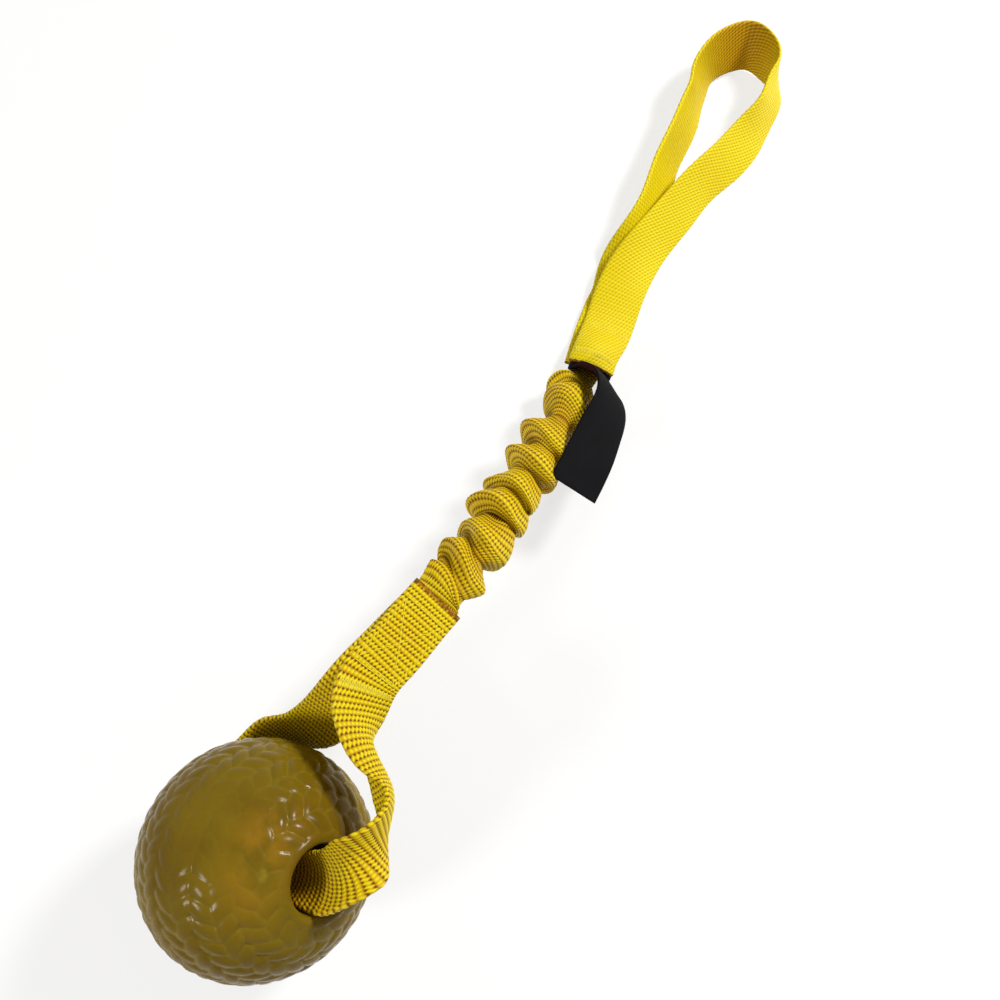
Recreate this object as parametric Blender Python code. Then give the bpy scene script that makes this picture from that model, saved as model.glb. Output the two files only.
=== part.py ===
"""Bungee tug toy: a rubber ball threaded on a webbing loop, a gathered bungee sleeve and a webbing handle.

Z is up, the toy lies on the floor at Z = 0, and +X runs from the ball to the bend of the handle.
The origin is the middle of the handle strap's flat resting face.
"""

import bmesh
import bpy
import numpy as np

# Where the handle's seam stands on the floor, and where the sleeve goes into the sewn section.
SEAM_X = -0.0240
SEAM_Y = -0.0040
SLEEVE_ROOT_X = -0.1545
SLEEVE_ROOT_Y = -0.0004

# Ball, with its bore's direction in degrees.
BALL_DIAMETER = 0.0742
BALL_LIFT = 0.0002
BALL_RELIEF = 0.0011
BORE_DIAMETER = 0.0210
BORE_RIM_RADIUS = 0.0030
BORE_AZIMUTH = -71.0
BORE_ELEVATION = 43.6
LOOP_INSET = 0.0005

# Webbing, label, sleeve and elastic.
HANDLE_LENGTH = 0.1500
WEBBING_WIDTH = 0.0200
WEBBING_THICKNESS = 0.0016
REST_BAND = 0.0002
LABEL_LENGTH = 0.0500
LABEL_WIDTH = 0.0190
LABEL_THICKNESS = 0.0007
SLEEVE_WIDTH = 0.0236
SLEEVE_FLAT = 0.0039
SLEEVE_WALL = 0.0007
ELASTIC_THICKNESS = 0.0010
STACK_SLACK = 0.0022

# Sewing thread, and how far each seam stands from the strap's end.
THREAD_DIAMETER = 0.0006
THREAD_GAP = 0.0003
STITCH_STEP = 0.0024
BOX_START = 0.0070
BOX_END = 0.0330
LOOP_TACK_START = 0.0370
LOOP_TACK_END = 0.0410
SLEEVE_TACK_START = 0.0030
SLEEVE_TACK_END = 0.0070
HANDLE_TACK_START = 0.0180
HANDLE_TACK_END = 0.0215

# Stations of the ball loop about the ball's centre, in shares of LOOP_REACH: place, then
# azimuth and elevation of the direction across the strap and its curl in degrees, then its
# lift in shares of the webbing's thickness and of half the flattened sleeve.
loop_shares = (
    (2.69, -0.27, 0.055, -109, -10, 0, 0.726, 1),
    (2.38, -0.22, 0.15, -105, -10, 0, 0.611, 1),
    (2.05, -0.17, 0.275, -102, -10, 0, 0.8, 0),
    (1.75, -0.13, 0.365, -100, -11, 6, 0.572, 0),
    (1.50, -0.23, 0.48, -97, -25, 50, 0, 0),
    (1.29, -0.45, 0.57, -90, -75, 140, 0, 0),
    (1.12, -0.72, 0.62, 119, -74, 110, 0, 0),
    (0.88, -0.90, 0.73, -165, -58, 30, 0, 0),
    (0.54, -0.88, 0.84, -156, -15, -50, 0, 0),
    (0.25, -0.71, 0.64, -156, -5, -108, 0, 0),
    (0.16, -0.41, 0.34, -151, -11, -108, 0, 0),
    (0.04, -0.02, -0.04, -142, -19, -105, 0, 0),
    (-0.08, 0.36, -0.41, -128, -29, -100, 0, 0),
    (-0.16, 0.61, -0.64, -115, -37, -80, 0, 0),
    (-0.04, 0.77, -0.75, -108, -42, -20, 0, 0),
    (0.33, 0.78, -0.77, -104, -42, 0, 0, 0),
    (0.68, 0.62, -0.61, -98, -43, 0, 0, 0),
    (0.93, 0.49, -0.42, -96, -34, 0, 0, 0),
    (1.09, 0.23, -0.21, -92, -22, 0, 0, 0),
    (1.25, 0.09, -0.05, -87, -9, 0, 0, 0),
    (1.74, -0.11, 0.365, -100, -11, -6, -0.572, 0),
    (2.03, -0.16, 0.275, -102, -10, 0, -0.8, 0),
    (2.34, -0.19, 0.15, -105, -10, 0, -0.611, -1),
    (2.66, -0.23, 0.055, -109, -10, 0, -0.726, -1),
)

# Stations of the handle loop from its seam, in shares of HANDLE_LENGTH and of STACK_HEIGHT.
handle_shares = (
    (-0.053, -0.003, 0.18, -86, 0, 0),
    (0.050, 0.018, 0.18, -86, 0, 0),
    (0.100, 0.025, 0.18, -85, 0, 0),
    (0.130, 0.029, 0.105, -84, 0, 0),
    (0.157, 0.030, 0.078, -84, 0, 0),
    (0.235, 0.048, 0.075, -85, 0, 0),
    (0.318, 0.050, 0.525, -79, -26, 0),
    (0.412, 0.052, 0.795, -61, -45, 0),
    (0.555, 0.082, 0.885, -37, -52, 0),
    (0.670, 0.091, 0.9, -39, -53, 0),
    (0.745, 0.100, 0.9, -30, -52, 0),
    (0.800, 0.111, 0.93, -21, -53, 0),
    (0.836, 0.120, 0.975, -38, -58, 0),
    (0.875, 0.123, 1.005, -65, -65, 0),
    (0.922, 0.112, 1.005, -108, -64, 0),
    (0.970, 0.084, 0.96, -131, -58, 0),
    (0.999, 0.049, 0.945, -152, -55, 0),
    (0.993, 0.006, 1.005, -161, -63, 0),
    (0.971, -0.033, 1.005, -144, -63, 0),
    (0.942, -0.063, 1.02, -118, -66, 0),
    (0.897, -0.078, 1.005, -72, -63, 0),
    (0.847, -0.084, 0.945, -46, -56, 0),
    (0.775, -0.079, 0.81, -50, -43, 0),
    (0.646, -0.055, 0.81, -75, -44, 0),
    (0.562, -0.028, 0.84, -74, -46, 0),
    (0.445, -0.005, 0.765, -76, -40, 0),
    (0.333, 0.016, 0.675, -77, -34, 0),
    (0.188, 0.024, 0.465, -82, -12, 0),
    (0.090, 0.008, 0.375, -82, -6, 20),
    (0.050, 0.002, 0.525, -83, -6, 40),
    (-0.008, -0.003, 0.9675, -86, -4, 84),
    (-0.063, -0.010, 1.02, -90, -4, 86),
)

# Stations of the label from the handle's seam, in shares of LABEL_LENGTH and of STACK_HEIGHT.
label_shares = (
    (-0.030, -0.020, 0.815, -86, -4, 103),
    (-0.120, -0.030, 0.815, -88, -4, 103),
    (-0.198, -0.045, 0.845, -90, -8, 95),
    (-0.250, -0.120, 1.45, -94, -32, 50),
    (-0.325, -0.230, 1.95, -96, -50, 15),
    (-0.486, -0.335, 2.15, -84, -46, 0),
    (-0.690, -0.376, 2.37, -80, -34, 0),
    (-0.918, -0.402, 2.525, -78, -23, 0),
    (-1.216, -0.416, 2.65, -80, -18, 0),
)

# The bungee's middle line: share of the way from the handle's seam to the root, then in shares
# of SLEEVE_WIDTH how far it strays in Y and Z, azimuth and elevation across in degrees, half
# width and half height of the sleeve's bore, and half width of the elastic.
core_shares = (
    (1.0000, 0.000, 0.000, -105, -10, 0.3220, 0.0, 0.2331),
    (0.9180, -0.060, -0.009, -105, -10, 0.3220, 0.0, 0.2331),
    (0.8582, -0.063, -0.010, -100, -8, 0.2288, 0.1695, 0.1695),
    (0.7280, -0.128, -0.005, -92, -3, 0.2119, 0.2119, 0.1695),
    (0.5900, -0.141, 0.004, -90, 0, 0.2119, 0.2119, 0.1695),
    (0.4444, -0.178, 0.025, -90, 0, 0.2119, 0.2119, 0.1695),
    (0.3065, -0.153, 0.034, -88, 0, 0.2119, 0.2119, 0.1695),
    (0.1916, -0.050, 0.019, -88, 0, 0.1949, 0.1864, 0.1610),
    (0.1264, -0.019, -0.118, -87, -3, 0.1780, 0.0932, 0.1441),
    (0.0766, -0.037, -0.118, -86, -4, 0.1822, 0.0, 0.1441),
    (0.0077, -0.018, -0.012, -86, -4, 0.1822, 0.0, 0.1441),
)

# The sleeve's ruffles, necks and crests by turns: place as above, how far the left side leads
# the right, half width and half height. A height of 0 is the flattened sleeve's.
ruffle_shares = (
    (0.9962, 0.001, 0.002, 0.000, 0.360, 0.0),
    (0.9119, -0.063, -0.007, 0.000, 0.364, 0.0),
    (0.8575, -0.063, -0.001, -0.093, 0.458, 0.3814),
    (0.8100, -0.090, -0.005, -0.030, 0.309, 0.2881),
    (0.7525, -0.115, -0.006, -0.250, 0.508, 0.4237),
    (0.6789, -0.154, -0.003, -0.208, 0.331, 0.2966),
    (0.6268, -0.113, 0.005, -0.081, 0.487, 0.4237),
    (0.5885, -0.141, 0.007, -0.064, 0.398, 0.3390),
    (0.5563, -0.136, 0.011, -0.034, 0.445, 0.4068),
    (0.5027, -0.153, 0.017, 0.000, 0.322, 0.2966),
    (0.4598, -0.185, 0.022, -0.017, 0.500, 0.4364),
    (0.4169, -0.186, 0.027, 0.068, 0.352, 0.3305),
    (0.3701, -0.133, 0.034, 0.085, 0.449, 0.4237),
    (0.3096, -0.179, 0.038, 0.072, 0.288, 0.2966),
    (0.2322, -0.086, 0.031, 0.110, 0.407, 0.4237),
    (0.1939, -0.021, 0.020, 0.017, 0.364, 0.3559),
    (0.1701, 0.008, -0.039, -0.038, 0.394, 0.3136),
    (0.1241, -0.015, -0.131, 0.017, 0.246, 0.1525),
    (0.0766, -0.037, -0.118, 0.000, 0.229, 0.0),
    (0.0077, -0.018, -0.012, 0.000, 0.229, 0.0),
)

# Where the root and the seam's end of the sleeve stand in their stacks, in shares of LOOP_REACH
# from the ball's centre and of STACK_HEIGHT.
root_shares = (2.3825, -0.2049, 0.1448)
TIP_SHARE = 0.48

# Shares of the half width round a strap's section, left edge first.
strap_top_shares = (-0.94, -0.5, 0.0, 0.5, 0.94)
CREASE_POWER = 0.75
RINGS_PER_RUFFLE = 4
TUBE_SIDES = 14
THREAD_SIDES = 5
thread_start_shares = (0.3, 0.5, 0.8)
elastic_corners = ((-1, 1), (0, 1), (1, 1), (1, -1), (0, -1), (-1, -1))
ELASTIC_SETBACK_SHARE = 0.01
LAYER_SHARE = 1.3
BOX_SHARE = 0.78
LOOP_TACK_SHARE = 0.88
SLEEVE_TACK_SHARE = 0.80
HANDLE_TACK_SHARE = 0.85
LOOP_TACK_STROKES = 17
SHORT_TACK_STROKES = 15
LOOP_RINGS = 92
HANDLE_RINGS = 96
LABEL_RINGS = 22
FINE_STEPS = 1200
LEAST_CURL = 0.0001

# Leaf scales of the ball, which lie on rings round the bore and slant left and right by turns:
# how high each third of a scale stands in the middle of its ring, and where two rings meet.
SCALE_RINGS = 14
SCALES_PER_RING = 38
leaf_middle_shares = (0.45, 1.0, 0.55)
leaf_meet_shares = ((0.0, 0.0, 0.5), (0.5, 0.0, 0.0))
RIM_STEPS = 4
BORE_STEPS = 4

# Sizes and places that follow from the others.
LOOP_REACH = BALL_DIAMETER / 2 - LOOP_INSET
STACK_HEIGHT = SLEEVE_FLAT + 2 * WEBBING_THICKNESS + LABEL_THICKNESS + STACK_SLACK
SEAM = (SEAM_X, SEAM_Y, 0.0)
BALL_CENTRE = (
    SLEEVE_ROOT_X - root_shares[0] * LOOP_REACH,
    SLEEVE_ROOT_Y - root_shares[1] * LOOP_REACH,
    BALL_DIAMETER / 2 + BALL_LIFT,
)
SLEEVE_ROOT = (SLEEVE_ROOT_X, SLEEVE_ROOT_Y, BALL_CENTRE[2] + root_shares[2] * LOOP_REACH)
SLEEVE_TIP = (SEAM_X, SEAM_Y, TIP_SHARE * STACK_HEIGHT)


def unit(vectors):
    return vectors / np.linalg.norm(vectors, axis=-1, keepdims=True)


def direction(azimuth, elevation):
    return np.stack(
        [
            np.cos(azimuth) * np.cos(elevation),
            np.sin(azimuth) * np.cos(elevation),
            np.sin(elevation),
        ],
        axis=-1,
    )


def natural_spline(knots, rows, at):
    """The natural cubic spline through the rows, read at the places in at."""
    count = len(knots)
    gaps = np.diff(knots)
    matrix = np.eye(count)
    right = np.zeros_like(rows)
    for i in range(1, count - 1):
        matrix[i, i - 1 : i + 2] = gaps[i - 1], 2 * (gaps[i - 1] + gaps[i]), gaps[i]
        ahead = (rows[i + 1] - rows[i]) / gaps[i]
        behind = (rows[i] - rows[i - 1]) / gaps[i - 1]
        right[i] = 6 * (ahead - behind)
    bends = np.linalg.solve(matrix, right)
    k = np.clip(np.searchsorted(knots, at, side="right") - 1, 0, count - 2)
    gap = gaps[k][:, None]
    a = (knots[k + 1] - at)[:, None] / gap
    b = (at - knots[k])[:, None] / gap
    curve = (a**3 - a) * bends[k] + (b**3 - b) * bends[k + 1]
    return a * rows[k] + b * rows[k + 1] + curve * gap**2 / 6


class Strap:
    """A line laid through stations, with the direction across it, read by share of its length."""

    def __init__(self, places, turns, width=WEBBING_WIDTH):
        across = direction(np.radians(turns[:, 0]), np.radians(turns[:, 1]))
        self.rows = np.hstack([places, across, turns[:, 2:]])
        steps = np.linalg.norm(np.diff(places, axis=0), axis=1)
        self.knots = np.concatenate([[0], np.cumsum(steps)])
        self.fine = np.linspace(0, self.knots[-1], FINE_STEPS)
        track = natural_spline(self.knots, self.rows, self.fine)[:, :3]
        runs = np.linalg.norm(np.diff(track, axis=0), axis=1)
        self.run = np.concatenate([[0], np.cumsum(runs)])
        self.length = self.run[-1]
        self.width = width

    def frames(self, shares):
        """Middle, direction along, across, outward, and the table's other columns."""
        at = np.interp(np.asarray(shares) * self.length, self.run, self.fine)
        step = self.knots[-1] / FINE_STEPS
        here = natural_spline(self.knots, self.rows, at)
        ahead = natural_spline(self.knots, self.rows, np.minimum(at + step, self.knots[-1]))
        behind = natural_spline(self.knots, self.rows, np.maximum(at - step, 0))
        along = unit(ahead[:, :3] - behind[:, :3])
        across = here[:, 3:6]
        across = unit(across - along * np.sum(across * along, axis=1, keepdims=True))
        return here[:, :3], along, across, np.cross(along, across), here[:, 6:]

    def points(self, shares, sides, lifts):
        """Points at shares of the length, sides in shares of half the width, lifts off the middle."""
        middle, _, across, outward, other = self.frames(shares)
        curl = np.radians(other[:, :1]) / self.width
        curl = np.where(np.abs(curl) * self.width < LEAST_CURL, LEAST_CURL / self.width, curl)
        side = np.asarray(sides, dtype=float).reshape(-1, 1) * self.width / 2
        lift = np.asarray(lifts, dtype=float).reshape(-1, 1)
        turn = curl * side
        skin = middle + across * np.sin(turn) / curl - outward * (1 - np.cos(turn)) / curl
        return skin + (outward * np.cos(turn) + across * np.sin(turn)) * lift


def loop_strap():
    table = np.array(loop_shares, dtype=float)
    places = np.array(BALL_CENTRE) + table[:, :3] * LOOP_REACH
    places[:, 2] += table[:, 6] * WEBBING_THICKNESS + table[:, 7] * SLEEVE_FLAT / 2
    return Strap(places, table[:, 3:6])


def seam_strap(shares, reach, width):
    """A strap that is sewn in at the handle's seam."""
    table = np.array(shares, dtype=float)
    places = np.array(SEAM) + table[:, :3] * (reach, reach, STACK_HEIGHT)
    return Strap(places, table[:, 3:], width)


def bungee_table(shares):
    """Places along the bungee, with the table's other columns."""
    table = np.array(shares, dtype=float)
    tip, root = np.array(SLEEVE_TIP), np.array(SLEEVE_ROOT)
    places = tip + (root - tip) * table[:, :1]
    places[:, 1:] += table[:, 1:3] * SLEEVE_WIDTH
    return places, table[:, 3:]


def new_object(name, points, faces, material):
    mesh = bpy.data.meshes.new(name)
    mesh.from_pydata([tuple(point) for point in points], [], faces)
    shape = bmesh.new()
    shape.from_mesh(mesh)
    bmesh.ops.recalc_face_normals(shape, faces=shape.faces)
    shape.to_mesh(mesh)
    shape.free()
    mesh.materials.append(material)
    obj = bpy.data.objects.new(name, mesh)
    bpy.context.scene.collection.objects.link(obj)
    return obj


def new_material(name, colour, roughness):
    material = bpy.data.materials.new(name)
    material.use_nodes = True
    shader = material.node_tree.nodes["Principled BSDF"]
    shader.inputs["Base Color"].default_value = (*colour, 1.0)
    shader.inputs["Roughness"].default_value = roughness
    return material


def ring_faces(rings, sides, wrap=False):
    """Quads between rings of the same number of points, and from the last to the first if wrapped."""
    faces = []
    for i in range(rings if wrap else rings - 1):
        here, there = i * sides, (i + 1) % rings * sides
        for j in range(sides):
            k = (j + 1) % sides
            faces.append((here + j, here + k, there + k, there + j))
    return faces


def slab(name, strap, thickness, rings, material, rests=False):
    """A strap of one thickness with rounded edges, which lies on the floor where rests is set."""
    top = strap_top_shares
    sides = (*top, 1.0, *top[::-1], -1.0)
    lifts = (*(1.0 for _ in top), 0.0, *(-1.0 for _ in top), 0.0)
    points = []
    for share in np.linspace(0, 1, rings):
        ring = strap.points([share] * len(sides), sides, np.array(lifts) * thickness / 2)
        if rests:
            ring[:, 2] += max(0, -ring[:, 2].min())
            ring[ring[:, 2] < REST_BAND, 2] = 0
        points.extend(ring)
    count = len(sides)
    faces = ring_faces(rings, count)
    last = len(top) - 1
    for base in (0, (rings - 1) * count):
        for j in range(last):
            under = count - 2 - j
            faces.append((base + j, base + j + 1, base + under - 1, base + under))
        faces.append((base + last, base + last + 1, base + last + 2))
        faces.append((base, base + count - 1, base + count - 2))
    return new_object(name, points, faces, material)


def cord(name, track, diameter, material):
    """A round thread laid through the points of a track."""
    track = np.array(track)
    along = unit(np.gradient(track, axis=0))
    first = unit(np.cross(along[0], thread_start_shares))
    points = []
    for place, way in zip(track, along):
        first = unit(first - way * np.dot(first, way))
        second = np.cross(way, first)
        for angle in np.arange(THREAD_SIDES) * 2 * np.pi / THREAD_SIDES:
            spoke = first * np.cos(angle) + second * np.sin(angle)
            points.append(place + spoke * diameter / 2)
    rings = len(track)
    faces = ring_faces(rings, THREAD_SIDES)
    faces.append(tuple(range(THREAD_SIDES)))
    faces.append(tuple((rings - 1) * THREAD_SIDES + j for j in range(THREAD_SIDES)))
    return new_object(name, points, faces, material)


def stitch(name, strap, from_start, corners, material):
    """A thread through corners: distance from the strap's end, share across, and layer of thread."""
    corners = np.array(corners, dtype=float)
    steps = []
    for here, there in zip(corners, corners[1:]):
        wide = (there[1] - here[1]) * strap.width / 2
        count = max(2, int(np.hypot(there[0] - here[0], wide) / STITCH_STEP))
        steps.extend(here + (there - here) * k / count for k in range(count))
    steps = np.array([*steps, corners[-1]])
    far = steps[:, 0] / strap.length
    shares = far if from_start else 1 - far
    lifts = WEBBING_THICKNESS / 2 + THREAD_GAP + THREAD_DIAMETER * (0.5 + LAYER_SHARE * steps[:, 2])
    return cord(name, strap.points(shares, steps[:, 1], lifts), THREAD_DIAMETER, material)


def zigzag(start, end, strokes, reach_share):
    sides = np.linspace(-reach_share, reach_share, strokes)
    return [(start if i % 2 else end, side, 0) for i, side in enumerate(sides)]


def box_and_cross(start, end, reach_share):
    """A box, then its two diagonals, the second of which passes over the first."""
    step = 3 * THREAD_DIAMETER
    inner_share = reach_share - 2 * step / WEBBING_WIDTH
    return [
        (start, -reach_share, 0),
        (start, reach_share, 0),
        (end, reach_share, 0),
        (end, -reach_share, 0),
        (start + step, -reach_share, 0),
        (end - step, inner_share, 0),
        (end - step, -inner_share, 1),
        (start + step, inner_share, 1),
    ]


def ball(material):
    """A ball turned about its bore axis, with rings of leaf scales between the bore's rims."""
    radius, bore, rim = BALL_DIAMETER / 2, BORE_DIAMETER / 2, BORE_RIM_RADIUS
    height = np.sqrt((radius - rim) ** 2 - (bore + rim) ** 2)
    start = np.arctan2(bore + rim, height)
    rows = SCALE_RINGS * 2
    profile = []
    for row in range(rows + 1):
        angle = start + (np.pi - 2 * start) * row / rows
        profile.append((radius * np.sin(angle), radius * np.cos(angle), row))
    for k in range(1, RIM_STEPS + 1):
        turn = np.pi - start + (np.pi / 2 + start) * k / RIM_STEPS
        profile.append((bore + rim + rim * np.sin(turn), -height + rim * np.cos(turn), None))
    for k in range(1, BORE_STEPS):
        profile.append((bore, -height + 2 * height * k / BORE_STEPS, None))
    for k in range(RIM_STEPS):
        turn = -np.pi / 2 + (np.pi / 2 + start) * k / RIM_STEPS
        profile.append((bore + rim + rim * np.sin(turn), height + rim * np.cos(turn), None))
    axis = direction(np.radians(BORE_AZIMUTH), np.radians(BORE_ELEVATION))
    first = unit(np.cross(axis, (0, 0, 1)))
    second = np.cross(axis, first)
    segments = SCALES_PER_RING * len(leaf_middle_shares)
    points = []
    for out, along, row in profile:
        for segment in range(segments):
            third = segment % len(leaf_middle_shares)
            sink = 0
            if row is not None and 0 < row < rows:
                meets = leaf_meet_shares[row // 2 % 2]
                height_share = leaf_middle_shares[third] if row % 2 else meets[third]
                sink = BALL_RELIEF * (1 - height_share)
            angle = 2 * np.pi * segment / segments
            spoke = first * np.cos(angle) + second * np.sin(angle)
            point = spoke * out + axis * along
            points.append(np.array(BALL_CENTRE) + point * (1 - sink / radius))
    faces = ring_faces(len(profile), segments, wrap=True)
    return new_object("ball", points, faces, material)


def oval(middle, across, up, half_width, half_height, along=None, lead=0.0):
    points = []
    for angle in np.arange(TUBE_SIDES) * 2 * np.pi / TUBE_SIDES:
        point = middle + across * half_width * np.cos(angle) + up * half_height * np.sin(angle)
        if along is not None:
            point = point - along * lead / 2 * np.cos(angle)
        points.append(point)
    return points


def sleeve(core, material):
    """A gathered tube: ruffles outside, a plain bore inside, flat and open at both ends."""
    spots, along, across, outward, _ = core.frames(np.linspace(0, 1, FINE_STEPS))
    places, sizes = bungee_table(ruffle_shares)
    sizes *= SLEEVE_WIDTH
    sizes[:, 2] = np.maximum(sizes[:, 2], SLEEVE_FLAT / 2)
    table = np.hstack([places, sizes])
    points = []
    for i in range(len(table) - 1):
        to_crest = i % 2 == 1
        inside = i in (0, len(table) - 2)
        for k in range(RINGS_PER_RUFFLE):
            share = k / RINGS_PER_RUFFLE
            swell = np.sin(np.pi / 2 * share) ** CREASE_POWER
            fall = 1 - np.sin(np.pi / 2 * (1 - share)) ** CREASE_POWER
            mix = share if inside else swell if to_crest else fall
            row = table[i] * (1 - share) + table[i + 1] * share
            row[4:] = table[i, 4:] * (1 - mix) + table[i + 1, 4:] * mix
            near = np.argmin(np.abs(spots[:, 0] - row[0]))
            side, way = across[near], along[near]
            up = -outward[near]
            points.extend(oval(row[:3], side, up, row[4], row[5], way, row[3]))
    end = np.argmin(np.abs(spots[:, 0] - table[-1, 0]))
    points.extend(oval(table[-1, :3], across[end], -outward[end], table[-1, 4], table[-1, 5]))
    middle, _, side, out, bore = core.frames(np.linspace(1, 0, len(core_shares) * 2))
    middle[0] = table[-1, :3]
    middle[-1] = table[0, :3]
    bore *= SLEEVE_WIDTH
    bore[:, 1] = np.maximum(bore[:, 1], SLEEVE_FLAT / 2 - SLEEVE_WALL)
    for place, way, down, size in zip(middle, side, out, bore):
        points.extend(oval(place, way, -down, size[0], size[1]))
    rings = len(points) // TUBE_SIDES
    faces = ring_faces(rings, TUBE_SIDES, wrap=True)
    return new_object("bungee_sleeve", points, faces, material)


def elastic(core, material):
    """A flat elastic that runs inside the sleeve from seam to seam."""
    shares = np.linspace(0, 1, len(core_shares) * 2)
    shares[0], shares[-1] = ELASTIC_SETBACK_SHARE, 1 - ELASTIC_SETBACK_SHARE
    middle, _, across, outward, sizes = core.frames(shares)
    points = []
    for place, side, out, size in zip(middle, across, outward, sizes * SLEEVE_WIDTH):
        for wide, high in elastic_corners:
            points.append(place + side * wide * size[2] + out * high * ELASTIC_THICKNESS / 2)
    count = len(elastic_corners)
    rings = len(points) // count
    faces = ring_faces(rings, count)
    for base in (0, (rings - 1) * count):
        faces.append((base, base + 1, base + 4, base + 5))
        faces.append((base + 1, base + 2, base + 3, base + 4))
    return new_object("elastic_core", points, faces, material)


def build():
    for obj in list(bpy.data.objects):
        bpy.data.objects.remove(obj)
    yellow = new_material("webbing_yellow", (0.90, 0.72, 0.03), 0.75)
    handle_yellow = new_material("handle_yellow", (0.92, 0.76, 0.04), 0.75)
    sleeve_yellow = new_material("sleeve_yellow", (0.86, 0.66, 0.03), 0.8)
    olive = new_material("rubber_olive", (0.20, 0.13, 0.01), 0.25)
    black = new_material("label_black", (0.02, 0.02, 0.02), 0.7)
    pale = new_material("elastic_pale", (0.75, 0.70, 0.55), 0.6)
    thread = new_material("thread_yellow", (0.95, 0.80, 0.08), 0.6)
    loop = loop_strap()
    handle = seam_strap(handle_shares, HANDLE_LENGTH, WEBBING_WIDTH)
    label = seam_strap(label_shares, LABEL_LENGTH, LABEL_WIDTH)
    core = Strap(*bungee_table(core_shares))
    ball(olive)
    slab("ball_loop_webbing", loop, WEBBING_THICKNESS, LOOP_RINGS, yellow)
    slab("handle_webbing", handle, WEBBING_THICKNESS, HANDLE_RINGS, handle_yellow, rests=True)
    slab("label_ribbon", label, LABEL_THICKNESS, LABEL_RINGS, black)
    sleeve(core, sleeve_yellow)
    elastic(core, pale)
    box = box_and_cross(BOX_START, BOX_END, BOX_SHARE)
    loop_tack = zigzag(LOOP_TACK_START, LOOP_TACK_END, LOOP_TACK_STROKES, LOOP_TACK_SHARE)
    sleeve_tack = zigzag(SLEEVE_TACK_START, SLEEVE_TACK_END, SHORT_TACK_STROKES, SLEEVE_TACK_SHARE)
    handle_tack = zigzag(HANDLE_TACK_START, HANDLE_TACK_END, SHORT_TACK_STROKES, HANDLE_TACK_SHARE)
    stitch("loop_box_needle_thread", loop, True, box, thread)
    stitch("loop_box_bobbin_thread", loop, False, box, thread)
    stitch("loop_tack_needle_thread", loop, True, loop_tack, thread)
    stitch("loop_tack_bobbin_thread", loop, False, loop_tack, thread)
    stitch("sleeve_tack_needle_thread", handle, False, sleeve_tack, thread)
    stitch("sleeve_tack_bobbin_thread", handle, True, sleeve_tack, thread)
    stitch("handle_tack_needle_thread", handle, False, handle_tack, thread)
    stitch("handle_tack_bobbin_thread", handle, True, handle_tack, thread)


build()
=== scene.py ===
"""Bungee tug toy: a scaled rubber ball on woven webbing, with a gathered bungee and a hand loop."""

import bpy
import numpy as np
from mathutils import Matrix, Vector


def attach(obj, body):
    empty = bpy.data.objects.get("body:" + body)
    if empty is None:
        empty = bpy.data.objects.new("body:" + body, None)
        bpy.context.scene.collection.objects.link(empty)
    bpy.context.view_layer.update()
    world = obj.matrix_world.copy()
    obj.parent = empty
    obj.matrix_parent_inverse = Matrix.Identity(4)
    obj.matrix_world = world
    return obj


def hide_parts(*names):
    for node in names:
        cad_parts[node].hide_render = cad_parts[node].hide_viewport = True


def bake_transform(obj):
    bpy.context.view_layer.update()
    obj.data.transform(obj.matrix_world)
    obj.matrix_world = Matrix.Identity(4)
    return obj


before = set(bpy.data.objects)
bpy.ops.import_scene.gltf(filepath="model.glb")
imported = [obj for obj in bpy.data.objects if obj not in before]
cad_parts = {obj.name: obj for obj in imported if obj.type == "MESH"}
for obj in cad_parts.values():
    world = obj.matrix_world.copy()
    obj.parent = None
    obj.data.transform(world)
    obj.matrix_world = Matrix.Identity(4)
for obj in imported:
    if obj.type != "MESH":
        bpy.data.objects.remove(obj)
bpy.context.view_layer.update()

bl_info = {
    "name": "Bungee Tug Toy",
    "version": (1, 0, 0),
    "blender": (4, 5, 0),
    "location": "3D View > Sidebar > Tug Toy",
    "description": "Builds a rubber ball on a webbing loop with a gathered bungee and a hand loop",
    "category": "Object",
}

SEAM = (-0.0240, -0.0040, 0.0)
HANDLE_REACH = 0.1500
SLEEVE_REACH = 0.1000
LABEL_REACH = 0.0500
BALL_CENTRE = (-0.2417, 0.0071, 0.0373)
BORE_AZIMUTH = np.radians(-71.0)
BORE_ELEVATION = np.radians(43.6)
LOOP_REACH = 0.0366
ELASTIC_THICKNESS = 0.0010
ELASTIC_RIB = 0.0012
FINE_STEPS = 1200
SMALLEST_CURL = 1e-4
STRAP_CELLS = 56
END_FADE = 0.0008
EDGE_ROUNDING = 0.0012
STITCH_DIP = 0.00045

# The plain weave's height: its floor, what ribs and holes add, and how far the ribs sway.
WEAVE_FLOOR = 0.20
FLAT_LEVEL = 0.30
RIB_SHARE = 0.60
HOLE_SHARE = 0.20
RIB_SWAY = 0.09
HANDLE_RIBBING = 0.35

# Rings of leaf scales round the ball's bore.
RING_GAP = np.radians(10.3)
FIRST_RING = np.radians(27.0)
RING_SHIFT = 0.37
LEAF_SLANT = np.radians(46.0)
LEAF_HALF_LENGTH = 0.0060
LEAF_HALF_WIDTH = 0.0031
WORN_SIDE = (0.06, 0.35, 0.93)

# The sleeve: points round each ring, beads round it, its wall, and the share where its elastic is split.
SLEEVE_SIDES = 200
SLEEVE_BEADS = 44
SLEEVE_WALL = 0.0010
ELASTIC_SPLIT = 0.335

LABEL_RINGS = 150
LABEL_ACROSS = 21
LABEL_WEAVE = (0.00045, 0.00042)

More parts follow.
